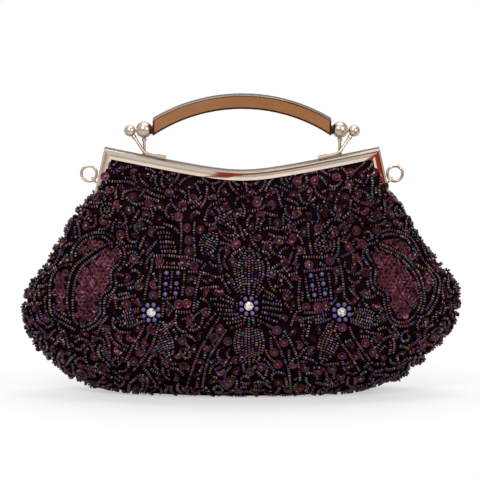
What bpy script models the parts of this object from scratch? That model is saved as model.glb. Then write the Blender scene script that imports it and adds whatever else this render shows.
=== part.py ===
"""Beaded evening clutch with a riveted two-half kiss-lock frame, ball clasps, an arched
handle, two strap rings and a soft bag. Metres, +Z up, front towards -Y, base at Z = 0."""

import math

import bmesh
import bpy
from mathutils import Matrix, Vector

# Gaps between neighbours
TOUCH_GAP = 0.0003  # between pieces that touch
RUNNING_GAP = 0.0002  # between pieces that turn on each other

# Frame, one pressed channel for the front half and one for the back half
HINGE_Z = 0.1140
CORNER_X = 0.0847
BAR_RISE = 0.0253  # from the hinge up to the middle of the bar
BAR_SLOPE = 0.21
BAR_SOFTENING = 0.0040
BAR_STEPS = 20
ARM_LEAN = 0.225
HALF_DEPTH = 0.0056
SHEET = 0.0008
CHANNEL_HEIGHT = 0.0054
CHANNEL_BEVEL = 0.0010
CHANNEL_LIP = 0.0009
INNER_LEG = 0.0046
ARM_END_RISE = 0.0046  # from the hinge up to where the channel of an arm stops

# Hinge ears and rivets
EAR_RADIUS = 0.0033
EAR_THICKNESS = 0.0009
EAR_LAP = 0.0034  # how far an ear runs up inside its arm
EAR_INSET = 0.0001
RIVET_RADIUS = 0.0011
RIVET_HEAD_RADIUS = 0.0022
RIVET_HEAD = 0.0009
RIVET_CROWN = 0.0004

# Paper cords that jam the cloth in the channels
CORD_RADIUS = 0.0008
CORD_END_RISE = 0.0050  # from the arm's end up to the cord's end

# Clasps: the large balls stand on the back half, the small ones on the front half
BIG_BALL_RADIUS = 0.0051
BIG_BALL_X = 0.0604
BIG_BALL_Y = 0.0010
BIG_BALL_RISE = 0.0160  # from the bar up to the large ball's centre
SMALL_BALL_RADIUS = 0.0036
SMALL_BALL_LOWER = 0.0009  # how much lower the small ball sits
PASS_GAP = 0.0001  # the small ball passes the large one this clear of it
CLASP_WIRE_RADIUS = 0.00095
COLLAR_RADIUS = 0.0015
COLLAR_LENGTH = 0.0019
SPIGOT = 0.0012  # how far a post or wire enters its ball
BORE_SPARE = 0.0004
POST_FOOT_RADIUS = 0.0014
POST_FOOT_HEIGHT = 0.0008
CLASP_ELBOW_INSET = 0.0010  # from the large ball's centre in to the arm's elbow
CLASP_FOOT_LENGTH = 0.0122
CLASP_SLEEVE_RADIUS = 0.0014
CLASP_SLEEVE_LENGTH = 0.0052
CLASP_ELBOW_REACH = 0.0032

# Handle, a flat arched bar with an inlay let into each face
HANDLE_RISE = 0.0159  # of the bar's middle line, from its ends to its top
HANDLE_END_LIFT = 0.0019  # from the balls' centres up to the ends of that line
HANDLE_BAND = 0.0087
HANDLE_DEPTH = 0.0095
HANDLE_EDGE = 0.0005
HANDLE_STEPS = 22
INLAY_RIM = 0.0008
INLAY_RECESS = 0.0013
INLAY_PROUD = 0.0001

# Strap rings and their lugs
RING_RADIUS = 0.0047
RING_WIRE_RADIUS = 0.0009
LUG_WIRE_RADIUS = 0.0005
LUG_RISE = 0.0188  # from the hinge up to the lug's hole
LUG_STAND_OFF = 0.0025  # from the arm to the middle of the lug's hole
LUG_FOOT_WIDTH = 0.0016
RING_RISE_DEGREES = 52.3  # from the horizontal to the line from lug to ring centre

# Bag, up to its rim
BAG_HALF_WIDTH = 0.1330
BAG_HALF_DEPTH = 0.0290
RIM_DROP = 0.0068  # from the hinge down to the rim
BAG_WALL = 0.0022
RIM_WALL = 0.0009
BAG_FLOOR = 0.0022
SECTION_POINTS = 40
LINING_POINTS = 32
# Shares of the rim's height, of the half width and of the half depth, base first
BAG_SHARES = (
    (0.000, 0.436, 0.448),
    (0.019, 0.571, 0.586),
    (0.047, 0.665, 0.690),
    (0.093, 0.748, 0.793),
    (0.187, 0.846, 0.907),
    (0.280, 0.914, 0.976),
    (0.392, 0.972, 1.000),
    (0.513, 1.000, 1.000),
    (0.606, 0.985, 0.962),
    (0.700, 0.940, 0.893),
    (0.793, 0.882, 0.814),
    (0.886, 0.830, 0.724),
    (1.000, 0.780, 0.575),
    (1.063, 0.756, 0.470),
    (1.138, 0.714, 0.350),
)
SECTION_POWER = 2.5
SECTION_ROUNDING = 0.62
GUSSET_RISE = 0.0125  # how far the rim climbs at the side seams, outside the hinges
GUSSET_START_SHARE = 0.955
GUSSET_FULL_SHARE = 0.985

# Upper cloth panels, from the frame's channel down to just inside the rim
PANEL_THICKNESS = 0.0012
PANEL_TUCK = 0.0015  # from the frame's outer line to the panel's edge
PANEL_TUCK_AT_HINGE = 0.0051
PANEL_EDGE_DEPTH = 0.0042  # from the middle plane to the panel's outer side in the channel
SKIRT_LAP = 0.0010  # how far the skirt reaches below the rim
PANEL_COLUMNS = 26
PANEL_ROW_SHARES = (0.0, 0.18, 0.36, 0.54, 0.69, 0.80, 0.87, 1.0)
PANEL_FLAT_SHARE = 0.87  # above this share of its height a panel lies in the channel
PANEL_BULGE_POWER = 0.8
SKIRT_FULL_SHARE = 0.70  # of the half width with a skirt of full length
SKIRT_SIDE_DROP = 0.0016  # below the hinge at the sides of the moving panel
SKIRT_POWER = 1.3
SIDE_FLAT_SHARE = 0.943
SIDE_EASE_SHARE = 0.30

# Lining and base board
LINING_GAP = 0.0004
LINING_THICKNESS = 0.0008
BOARD_THICKNESS = 0.0015
BOARD_HALF_LENGTH = 0.0520
BOARD_HALF_WIDTH = 0.0105

# Bead flowers on the front, each a crystal in a ring of round beads
FLOWER_PLACES = {
    "left": (-0.0554, 0.0552),
    "middle": (0.0042, 0.0590),
    "right": (0.0609, 0.0552),
}
FLOWER_RADIUS = 0.0051
FLOWER_BEAD_RADIUS = 0.0015
FLOWER_BEADS = 8
FLOWER_BACKING = 0.0006
FLOWER_SPARE = 0.0002  # for the crown of the bag under the flat backing
CRYSTAL_RADIUS = 0.0026
CRYSTAL_HEIGHT = 0.0021
# Radius and height shares of the crystal, table first
CRYSTAL_SHARES = ((0.0, 1.0), (0.55, 1.0), (1.0, 0.42), (1.0, 0.25), (0.45, 0.0), (0.0, 0.0))

# Roundness of turned pieces
TURN_STEPS = 16
BALL_RINGS = 9

# Sizes that follow
BAR_MIDDLE_Z = HINGE_Z + BAR_RISE
ARM_END_Z = HINGE_Z + ARM_END_RISE
LUG_Z = HINGE_Z + LUG_RISE
RIM_Z = HINGE_Z - RIM_DROP
BALL_BAR_RISE = math.hypot(BAR_SOFTENING, BAR_SLOPE * BIG_BALL_X) - BAR_SOFTENING
BIG_BALL_Z = BAR_MIDDLE_Z + BALL_BAR_RISE + BIG_BALL_RISE
SMALL_BALL_X = BIG_BALL_X + BIG_BALL_RADIUS + SMALL_BALL_RADIUS + PASS_GAP
BALLS_APART = BIG_BALL_RADIUS + SMALL_BALL_RADIUS + TOUCH_GAP
SMALL_BALL_Y = BIG_BALL_Y + math.sqrt(
    BALLS_APART**2 - (SMALL_BALL_X - BIG_BALL_X) ** 2
)
HALF_MIDDLE_Y = TOUCH_GAP / 2 + HALF_DEPTH / 2
CLASP_ELBOW_X = BIG_BALL_X - CLASP_ELBOW_INSET
CLASP_FOOT_END_X = CLASP_ELBOW_X - CLASP_FOOT_LENGTH
HANDLE_END_X = BIG_BALL_X - BIG_BALL_RADIUS - TOUCH_GAP
HANDLE_RADIUS = (HANDLE_END_X**2 + HANDLE_RISE**2) / (2 * HANDLE_RISE)
HANDLE_CENTRE_Z = BIG_BALL_Z + HANDLE_END_LIFT + HANDLE_RISE - HANDLE_RADIUS


def clear_scene():
    for obj in list(bpy.data.objects):
        bpy.data.objects.remove(obj, do_unlink=True)


def new_collection(name):
    collection = bpy.data.collections.new(name)
    bpy.context.scene.collection.children.link(collection)
    return collection


def new_material(name, colour, roughness, metallic=0.0):
    material = bpy.data.materials.new(name)
    material.use_nodes = True
    shader = material.node_tree.nodes["Principled BSDF"]
    shader.inputs["Base Color"].default_value = (*colour, 1.0)
    shader.inputs["Roughness"].default_value = roughness
    shader.inputs["Metallic"].default_value = metallic
    material.diffuse_color = (*colour, 1.0)
    return material


def add_object(name, mesh, material, location=(0, 0, 0), rotation=None, smooth=True):
    """A part of the clutch from a mesh, placed in the parts collection."""
    obj = bpy.data.objects.new(name, mesh)
    obj.location = location
    if rotation is not None:
        obj.rotation_mode = "QUATERNION"
        obj.rotation_quaternion = rotation
    if material:
        mesh.materials.append(material)
    if smooth:
        mesh.shade_smooth()
        mesh.set_sharp_from_angle(angle=math.radians(35))
    PARTS.objects.link(obj)
    return obj


def make_cutter(obj):
    """Moves an object among the cutters, where it isn't rendered."""
    PARTS.objects.unlink(obj)
    CUTTERS.objects.link(obj)
    obj.hide_render = True
    obj.display_type = "WIRE"
    return obj


def combine(obj, other, operation):
    modifier = obj.modifiers.new(operation.lower(), "BOOLEAN")
    modifier.operation = operation
    modifier.object = make_cutter(other)


def mesh_from(name, build):
    """A mesh that the function build fills, with its faces turned outwards."""
    mesh = bpy.data.meshes.new(name)
    working = bmesh.new()
    build(working)
    bmesh.ops.recalc_face_normals(working, faces=working.faces)
    working.to_mesh(mesh)
    working.free()
    return mesh


def spread(low, high, steps):
    return [low + (high - low) * step / steps for step in range(steps + 1)]


def turned(name, profile, material, location=(0, 0, 0), axis=(0, 0, 1)):
    """A turned solid: profile holds (radius, height) pairs, top first."""
    mesh = bpy.data.meshes.new(name)
    points = [(radius, 0, height) for radius, height in profile]
    edges = [(index, index + 1) for index in range(len(points) - 1)]
    mesh.from_pydata(points, edges, [])
    turn = Vector((0, 0, 1)).rotation_difference(Vector(axis))
    obj = add_object(name, mesh, material, location, turn)
    screw = obj.modifiers.new("turn", "SCREW")
    screw.steps = TURN_STEPS
    screw.render_steps = TURN_STEPS
    screw.use_merge_vertices = True
    screw.merge_threshold = TOUCH_GAP / 100
    screw.use_smooth_shade = True
    return obj


def wire(name, points, radius, material, radius_shares=None):
    """A round wire along points, with closed ends. Its radius can vary by share."""
    curve = bpy.data.curves.new(name, "CURVE")
    curve.dimensions = "3D"
    curve.bevel_depth = radius
    curve.bevel_resolution = 2
    curve.use_fill_caps = True
    spline = curve.splines.new("POLY")
    spline.points.add(len(points) - 1)
    for index, point in enumerate(points):
        spline.points[index].co = (*point, 1)
        if radius_shares:
            spline.points[index].radius = radius_shares[index]
    obj = bpy.data.objects.new(name, curve)
    curve.materials.append(material)
    PARTS.objects.link(obj)
    return obj


def as_mesh(obj, material):
    """The same object with its curve made a closed mesh, ready for a Boolean."""
    bpy.context.view_layer.update()
    graph = bpy.context.evaluated_depsgraph_get()
    mesh = bpy.data.meshes.new_from_object(obj.evaluated_get(graph))
    name, matrix = obj.name, obj.matrix_world.copy()
    bpy.data.objects.remove(obj, do_unlink=True)
    working = bmesh.new()
    working.from_mesh(mesh)
    bmesh.ops.remove_doubles(working, verts=working.verts, dist=TOUCH_GAP / 100)
    bmesh.ops.recalc_face_normals(working, faces=working.faces)
    working.to_mesh(mesh)
    working.free()
    mesh.materials.clear()
    solid = add_object(name, mesh, material)
    solid.matrix_world = matrix
    return solid


def bar_z(x):
    """Height of the bar's top: two straight slopes that meet softly in the middle."""
    return BAR_MIDDLE_Z + math.hypot(BAR_SOFTENING, BAR_SLOPE * x) - BAR_SOFTENING


def arm_x(z):
    """Outer side of the right arm at a height."""
    return CORNER_X + ARM_LEAN * (bar_z(CORNER_X) - z)


def frame_line(end_z=ARM_END_Z):
    """Outer line of a frame half, from the left arm's end to the right arm's end."""
    bar = [(x, bar_z(x)) for x in spread(-CORNER_X, CORNER_X, BAR_STEPS)]
    return [(-arm_x(end_z), end_z), *bar, (arm_x(end_z), end_z)]


def inward(line):
    """For each point of a line, the mitred step that moves it inwards by one."""
    steps = []
    for index, here in enumerate(line):
        sides = []
        for start, end in ((index - 1, index), (index, index + 1)):
            if start >= 0 and end < len(line):
                along = Vector(line[end]) - Vector(line[start])
                sides.append(Vector((along.y, -along.x)).normalized())
        middle = sum(sides, Vector((0, 0))).normalized()
        steps.append(middle / middle.dot(sides[0]))
    return steps


def inset_line(line, inset):
    return [Vector(p) + step * inset for p, step in zip(line, inward(line))]


def frame_half(name, side, ear_outer_x):
    """A pressed channel along the bar and both arms, with an ear at each arm's end."""
    section = (
        (INNER_LEG, 0),
        (0, 0),
        (0, HALF_DEPTH - CHANNEL_BEVEL),
        (CHANNEL_BEVEL, HALF_DEPTH),
        (CHANNEL_HEIGHT, HALF_DEPTH),
        (CHANNEL_HEIGHT, HALF_DEPTH - CHANNEL_LIP),
    )
    line = frame_line()
    rows = [
        [(p.x, side * (TOUCH_GAP / 2 + depth), p.y) for p in inset_line(line, inset)]
        for inset, depth in section
    ]
    frame = add_object(name, sheet_mesh(name, rows, flip=side < 0), NICKEL)
    add_wall(frame, SHEET)
    for hand in (-1, 1):
        ear = mesh_from(name + "_ear", lambda working: ear_plate(working, side, hand, ear_outer_x))
        combine(frame, add_object(name + "_ear", ear, NICKEL), "UNION")
        hole = turned(
            name + "_hole",
            rod_profile(RIVET_RADIUS + RUNNING_GAP, -EAR_LAP, EAR_LAP),
            None,
            (hand * ear_outer_x, 0, HINGE_Z),
            (1, 0, 0),
        )
        combine(frame, hole, "DIFFERENCE")
    return frame


def rod_profile(radius, low, high):
    return [(0, high), (radius, high), (radius, low), (0, low)]


def sheet_mesh(name, rows, flip=False):
    """An open sheet through rows of points."""
    mesh = bpy.data.meshes.new(name)
    width = len(rows[0])
    faces = []
    for row in range(len(rows) - 1):
        for column in range(width - 1):
            corner = row * width + column
            face = (corner, corner + 1, corner + width + 1, corner + width)
            faces.append(face[::-1] if flip else face)
    mesh.from_pydata([point for row in rows for point in row], [], faces)
    return mesh


def add_wall(obj, thickness):
    """Gives an open sheet its thickness, on its inner side."""
    solidify = obj.modifiers.new("wall", "SOLIDIFY")
    solidify.thickness = thickness
    solidify.offset = -1
    solidify.use_even_offset = True
    solidify.use_quality_normals = True
    return solidify


def ear_plate(working, side, hand, outer_x):
    """A flat eye round the hinge with a tongue that runs up into the arm."""
    top_z = ARM_END_Z + EAR_LAP
    near = side * (TOUCH_GAP / 2 + EAR_INSET)
    far = side * (TOUCH_GAP / 2 + HALF_DEPTH - EAR_INSET)
    eye = []
    for degrees in range(190, 411, 20):
        angle = math.radians(degrees)
        eye.append((-side * EAR_RADIUS * math.cos(angle), HINGE_Z + EAR_RADIUS * math.sin(angle)))
    lower = [(far, ARM_END_Z), *eye, (near, ARM_END_Z)]
    lower_verts = [working.verts.new((hand * outer_x, y, z)) for y, z in lower]
    top_x = arm_x(top_z) - EAR_INSET
    top_verts = [working.verts.new((hand * top_x, y, top_z)) for y in (near, far)]
    faces = [
        working.faces.new(lower_verts),
        working.faces.new([lower_verts[0], lower_verts[-1], *top_verts]),
    ]
    bmesh.ops.recalc_face_normals(working, faces=faces)
    grown = bmesh.ops.extrude_face_region(working, geom=faces, use_keep_orig=True)
    moved = [item for item in grown["geom"] if isinstance(item, bmesh.types.BMVert)]
    bmesh.ops.translate(working, verts=moved, vec=(-hand * EAR_THICKNESS, 0, 0))


def hinge_rivet(name, hand, ear_outer_x, stack):
    """A rivet through both ears, with a domed head outside and a flat one inside."""
    outer = TOUCH_GAP
    inner = -(stack + TOUCH_GAP)
    profile = [
        (0, outer + RIVET_HEAD + RIVET_CROWN),
        (RIVET_HEAD_RADIUS / 2, outer + RIVET_HEAD + RIVET_CROWN * 0.8),
        (RIVET_HEAD_RADIUS, outer + RIVET_HEAD / 2),
        (RIVET_HEAD_RADIUS, outer),
        (RIVET_RADIUS, outer),
        (RIVET_RADIUS, inner),
        (RIVET_HEAD_RADIUS, inner),
        (RIVET_HEAD_RADIUS, inner - RIVET_HEAD),
        (0, inner - RIVET_HEAD),
    ]
    turned(name, profile, NICKEL, (hand * ear_outer_x, 0, HINGE_Z), (hand, 0, 0))


def paper_cord(name, side):
    """The cord that holds the cloth in a channel, along the bar and both arms."""
    inset = SHEET + TOUCH_GAP + CORD_RADIUS
    y = side * (TOUCH_GAP / 2 + inset)
    line = inset_line(frame_line(ARM_END_Z + CORD_END_RISE), inset)
    wire(name, [(p.x, y, p.y) for p in line], CORD_RADIUS, PAPER)


def ball(name, radius, bore_radius, centre, axis, material):
    """A ball whose foot, away from axis, is bored for the wire that carries it."""
    bore = bore_radius + TOUCH_GAP
    lowest = math.asin(bore / radius)
    profile = [
        (radius * math.sin(angle), radius * math.cos(angle))
        for angle in spread(0, math.pi - lowest, BALL_RINGS)
    ]
    bottom = profile[-1][1]
    seat = -(radius - SPIGOT - BORE_SPARE)
    profile += [(bore, seat), (0, seat)]
    profile[0] = (0, radius)
    profile[-3] = (bore, bottom)
    return turned(name, profile, material, centre, axis)


def handle_post(name, hand):
    """The post from the back half's bar up into a large ball."""
    foot = Vector((hand * BIG_BALL_X, HALF_MIDDLE_Y, bar_z(BIG_BALL_X)))
    centre = Vector((hand * BIG_BALL_X, BIG_BALL_Y, BIG_BALL_Z))
    axis = (centre - foot).normalized()
    start = TOUCH_GAP + POST_FOOT_RADIUS * (BAR_SLOPE + abs(axis.y))
    under_ball = (centre - foot).length - BIG_BALL_RADIUS
    profile = [
        (0, under_ball + SPIGOT),
        (CLASP_WIRE_RADIUS, under_ball + SPIGOT),
        (CLASP_WIRE_RADIUS, under_ball - TOUCH_GAP),
        (COLLAR_RADIUS, under_ball - TOUCH_GAP),
        (COLLAR_RADIUS, under_ball - TOUCH_GAP - COLLAR_LENGTH),
        (CLASP_WIRE_RADIUS, under_ball - TOUCH_GAP - COLLAR_LENGTH),
        (CLASP_WIRE_RADIUS, start + POST_FOOT_HEIGHT),
        (POST_FOOT_RADIUS, start + POST_FOOT_HEIGHT),
        (POST_FOOT_RADIUS, start),
        (0, start),
    ]
    turned(name, profile, NICKEL, foot, axis)
    return axis


def clasp_wire_points(hand):
    """Middle line of a clasp arm, from its foot's end on the bar up to its ball."""
    rise = (CLASP_SLEEVE_RADIUS + TOUCH_GAP) * math.hypot(1, BAR_SLOPE)
    foot_y = -HALF_MIDDLE_Y
    foot_end = Vector((CLASP_FOOT_END_X, foot_y, bar_z(CLASP_FOOT_END_X) + rise))
    elbow = Vector((CLASP_ELBOW_X, foot_y, bar_z(CLASP_ELBOW_X) + rise))
    centre = Vector((SMALL_BALL_X, SMALL_BALL_Y, BIG_BALL_Z - SMALL_BALL_LOWER))
    along_foot = (foot_end - elbow).normalized()
    along_arm = (centre - elbow).normalized()
    points = [foot_end]
    for share in spread(0, 1, 5):
        # a parabola that rounds the elbow
        before = elbow + along_foot * CLASP_ELBOW_REACH * (1 - share)
        after = elbow + along_arm * CLASP_ELBOW_REACH * share
        points.append(before.lerp(after, share))
    to_ball = (centre - elbow).length - SMALL_BALL_RADIUS
    collar_end = to_ball - TOUCH_GAP
    collar_start = collar_end - COLLAR_LENGTH
    edge = TOUCH_GAP / 10
    collar = COLLAR_RADIUS / CLASP_WIRE_RADIUS
    shares = [1.0] * len(points)
    for distance, share in (
        (collar_start - edge, 1.0),
        (collar_start, collar),
        (collar_end, collar),
        (collar_end + edge, 1.0),
        (to_ball + SPIGOT, 1.0),
    ):
        points.append(elbow + along_arm * distance)
        shares.append(share)
    mirrored = [(hand * p.x, p.y, p.z) for p in points]
    return mirrored, shares, Vector((hand * centre.x, centre.y, centre.z)), along_arm


def clasp(label, hand):
    """A clasp arm with its end sleeve, and the small ball it carries."""
    points, shares, centre, along_arm = clasp_wire_points(hand)
    arm = wire(label + "_clasp_arm", points, CLASP_WIRE_RADIUS, NICKEL, shares)
    arm = as_mesh(arm, NICKEL)
    foot_axis = (Vector(points[0]) - Vector(points[1])).normalized()
    sleeve = turned(
        label + "_sleeve",
        rod_profile(CLASP_SLEEVE_RADIUS, -CLASP_SLEEVE_LENGTH, TOUCH_GAP),
        None,
        points[0],
        foot_axis,
    )
    combine(arm, sleeve, "UNION")
    axis = (hand * along_arm.x, along_arm.y, along_arm.z)
    ball(label + "_clasp_ball", SMALL_BALL_RADIUS, CLASP_WIRE_RADIUS, centre, axis, NICKEL)


def band_outline(inset):
    """Outline of the handle in X and Z, pulled in by inset, with upright ends."""
    end = HANDLE_END_X - inset
    outline = []
    for radius, ends in (
        (HANDLE_RADIUS + HANDLE_BAND / 2 - inset, (-end, end)),
        (HANDLE_RADIUS - HANDLE_BAND / 2 + inset, (end, -end)),
    ):
        first, last = (math.asin(x / radius) for x in ends)
        for angle in spread(first, last, HANDLE_STEPS):
            outline.append((radius * math.sin(angle), HANDLE_CENTRE_Z + radius * math.cos(angle)))
    return outline


def slab(name, outline, y, thickness, material):
    """A flat piece in the XZ plane with its middle at y, from a filled 2D curve."""
    curve = bpy.data.curves.new(name, "CURVE")
    curve.dimensions = "2D"
    curve.fill_mode = "BOTH"
    curve.extrude = thickness / 2
    spline = curve.splines.new("POLY")
    spline.use_cyclic_u = True
    spline.points.add(len(outline) - 1)
    for index, (x, z) in enumerate(outline):
        spline.points[index].co = (x, z, 0, 1)
    obj = bpy.data.objects.new(name, curve)
    obj.rotation_euler = (math.pi / 2, 0, 0)
    obj.location = (0, y, 0)
    PARTS.objects.link(obj)
    return as_mesh(obj, material)


def add_bevel(obj, width, segments=1):
    bevel = obj.modifiers.new("edge", "BEVEL")
    bevel.width = width
    bevel.segments = segments
    bevel.limit_method = "ANGLE"
    bevel.angle_limit = math.radians(50)


def handle():
    """The arched bar, hollowed on both faces, and the inlays in it."""
    bar = slab("handle_bar", band_outline(0), BIG_BALL_Y, HANDLE_DEPTH, NICKEL)
    add_bevel(bar, HANDLE_EDGE)
    for label, side in (("front", -1), ("back", 1)):
        face = BIG_BALL_Y + side * HANDLE_DEPTH / 2
        recess = slab(
            "recess_" + label, band_outline(INLAY_RIM), face, 2 * INLAY_RECESS, None
        )
        combine(bar, recess, "DIFFERENCE")
        thickness = INLAY_RECESS - TOUCH_GAP + INLAY_PROUD
        middle = face + side * (INLAY_PROUD - thickness / 2)
        outline = band_outline(INLAY_RIM + TOUCH_GAP)
        slab("handle_inlay_" + label, outline, middle, thickness, TAN)


def ring_and_lug(label, hand):
    """A strap ring in XZ that hangs in an eyelet on the back half's arm."""
    normal = Vector((1, 0, ARM_LEAN)).normalized()
    hole = Vector((arm_x(LUG_Z), HALF_MIDDLE_Y, LUG_Z)) + normal * LUG_STAND_OFF
    rise = math.radians(RING_RISE_DEGREES)
    outward = Vector((math.cos(rise), 0, math.sin(rise)))
    tangent = Vector((math.sin(rise), 0, -math.cos(rise)))
    centre = hole + outward * RING_RADIUS
    mirror = Matrix.Diagonal((hand, 1, 1)).to_3x3()
    add_torus(label + "_strap_ring", RING_RADIUS, RING_WIRE_RADIUS, mirror @ centre, (0, 1, 0), (28, 10))
    lug_radius = RING_WIRE_RADIUS + TOUCH_GAP + LUG_WIRE_RADIUS
    lug = add_torus(
        label + "_ring_lug", lug_radius, LUG_WIRE_RADIUS, mirror @ hole, mirror @ tangent, (16, 8)
    )
    foot_length = LUG_STAND_OFF - TOUCH_GAP - lug_radius * normal.dot(outward)
    foot = turned(
        label + "_lug_foot",
        rod_profile(LUG_FOOT_WIDTH / 2, 0, foot_length),
        None,
        mirror @ (hole - outward * lug_radius),
        -(mirror @ normal),
    )
    combine(lug, foot, "UNION")


def add_torus(name, radius, wire_radius, location, axis, steps):
    def build(working):
        rings = []
        for turn in range(steps[0]):
            angle = math.tau * turn / steps[0]
            ring = []
            for part in range(steps[1]):
                around = math.tau * part / steps[1]
                out = radius + wire_radius * math.cos(around)
                height = wire_radius * math.sin(around)
                ring.append(
                    working.verts.new((out * math.cos(angle), out * math.sin(angle), height))
                )
            rings.append(ring)
        for turn, ring in enumerate(rings):
            following = rings[(turn + 1) % steps[0]]
            for part in range(steps[1]):
                after = (part + 1) % steps[1]
                working.faces.new((ring[part], ring[after], following[after], following[part]))

    turn = Vector((0, 0, 1)).rotation_difference(Vector(axis))
    return add_object(name, mesh_from(name, build), NICKEL, location, turn)


def bag_size(z):
    """Half width and half depth of the bag at a height below its rim."""
    share = max(z / RIM_Z, 0)
    for low, high in zip(BAG_SHARES, BAG_SHARES[1:]):
        if share <= high[0]:
            part = (share - low[0]) / (high[0] - low[0])
            width = low[1] + (high[1] - low[1]) * part
            depth = low[2] + (high[2] - low[2]) * part
            return width * BAG_HALF_WIDTH, depth * BAG_HALF_DEPTH
    return BAG_SHARES[-1][1] * BAG_HALF_WIDTH, BAG_SHARES[-1][2] * BAG_HALF_DEPTH


def section_depth(x, half_width, half_depth):
    """How far a level section of the bag reaches from its middle plane at x."""
    share = min(abs(x) / half_width, 1)
    return half_depth * (1 - share**SECTION_POWER) ** SECTION_ROUNDING


def level_section(z, inset, count=SECTION_POINTS, rise=0.0):
    """A ring of points round the bag at a height, pulled in by inset. At the side seams
    the ring climbs by rise."""
    ring = []
    for step in range(count):
        angle = math.tau * step / count
        along = math.cos(angle)
        span = GUSSET_FULL_SHARE - GUSSET_START_SHARE
        part = min(max((abs(along) - GUSSET_START_SHARE) / span, 0), 1)
        height = z + rise * part
        half_width, half_depth = (size - inset for size in bag_size(height))
        x = half_width * along
        depth = section_depth(x, half_width, half_depth)
        ring.append((x, math.copysign(depth, math.sin(angle)), height))
    return ring


def cup(name, outer_inset, wall, rim_wall, floor, thickness, rim, count, rise, material):
    """An open-topped soft cup: outer sections, then inner ones back down to its floor."""
    levels = [share * RIM_Z for share, _, _ in BAG_SHARES if floor < share * RIM_Z < rim]
    inner_levels = [z for z in levels if z > floor + 2 * thickness]
    rings = [level_section(z, outer_inset, count) for z in (floor, *levels)]
    rings.append(level_section(rim, outer_inset, count, rise))
    rings.append(level_section(rim, outer_inset + rim_wall, count, rise))
    rings += [level_section(z, outer_inset + wall, count) for z in reversed(inner_levels)]
    rings.append(level_section(floor + thickness, outer_inset + wall, count))

    def build(working):
        rows = [[working.verts.new(point) for point in ring] for ring in rings]
        for row, above in zip(rows, rows[1:]):
            for step in range(count):
                after = (step + 1) % count
                working.faces.new((row[step], row[after], above[after], above[step]))
        working.faces.new(rows[0])
        working.faces.new(rows[-1])

    return add_object(name, mesh_from(name, build), material)


def soft_body():
    """The outer bag up to its rim, the lining in it and the board under the lining."""
    cup(
        "bag_shell",
        0,
        BAG_WALL,
        RIM_WALL,
        0,
        BAG_FLOOR,
        RIM_Z,
        SECTION_POINTS,
        GUSSET_RISE,
        SATIN,
    )
    board_z = BAG_FLOOR + TOUCH_GAP + BOARD_THICKNESS / 2
    lining_floor = board_z + BOARD_THICKNESS / 2 + TOUCH_GAP
    cup(
        "lining",
        BAG_WALL + LINING_GAP,
        LINING_THICKNESS,
        LINING_THICKNESS,
        lining_floor,
        LINING_THICKNESS,
        RIM_Z - 2 * SKIRT_LAP,
        LINING_POINTS,
        0,
        LINING,
    )
    mesh = bpy.data.meshes.new("base_board")
    working = bmesh.new()
    bmesh.ops.create_cube(working, size=1)
    size = (2 * BOARD_HALF_LENGTH, 2 * BOARD_HALF_WIDTH, BOARD_THICKNESS)
    bmesh.ops.scale(working, vec=size, verts=working.verts)
    upright = [e for e in working.edges if abs(e.verts[0].co.z - e.verts[1].co.z) > TOUCH_GAP]
    bmesh.ops.bevel(
        working, geom=upright, offset=BOARD_HALF_WIDTH / 2, segments=4, affect="EDGES"
    )
    working.to_mesh(mesh)
    working.free()
    add_object("base_board", mesh, BOARD, (0, 0, board_z))


def panel_depth(across, height_share, x):
    """How far a panel stands from the middle plane, across from -1 to 1."""
    rim_width, rim_depth = (size - RIM_WALL - TOUCH_GAP for size in bag_size(RIM_Z))
    low_depth = section_depth(x, rim_width, rim_depth)
    rise = max(PANEL_FLAT_SHARE - height_share, 0) / PANEL_FLAT_SHARE
    ease = min(max(SIDE_FLAT_SHARE - abs(across), 0) / SIDE_EASE_SHARE, 1) ** 0.5
    bulge = max(low_depth - PANEL_EDGE_DEPTH, 0) * rise**PANEL_BULGE_POWER * ease
    return PANEL_EDGE_DEPTH + bulge


def skirt_z(across, side_drop):
    """Lower edge of a panel, a little below the rim in the middle of the bag."""
    full_drop = RIM_DROP + SKIRT_LAP
    part = max(abs(across) - SKIRT_FULL_SHARE, 0) / (1 - SKIRT_FULL_SHARE)
    return HINGE_Z - full_drop + (full_drop - side_drop) * part**SKIRT_POWER


def cloth_panel(name, side, side_drop):
    """The cloth of one side above the rim, held in the frame's channel on three sides."""
    corner = inset_line(frame_line(), PANEL_TUCK)[-2]
    low_x = arm_x(HINGE_Z) - PANEL_TUCK_AT_HINGE
    rows = []
    for height_share in PANEL_ROW_SHARES:
        half_width = low_x + (corner.x - low_x) * height_share
        row = []
        for across in spread(-1, 1, PANEL_COLUMNS):
            x = across * half_width
            top_x = across * corner.x
            top_z = bar_z(top_x) - PANEL_TUCK * math.hypot(1, BAR_SLOPE)
            low_z = skirt_z(across, side_drop)
            z = low_z + (top_z - low_z) * height_share
            row.append((x, side * panel_depth(across, height_share, x), z))
        rows.append(row)
    panel = add_object(name, sheet_mesh(name, rows, flip=side > 0), SATIN)
    add_wall(panel, PANEL_THICKNESS)


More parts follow.
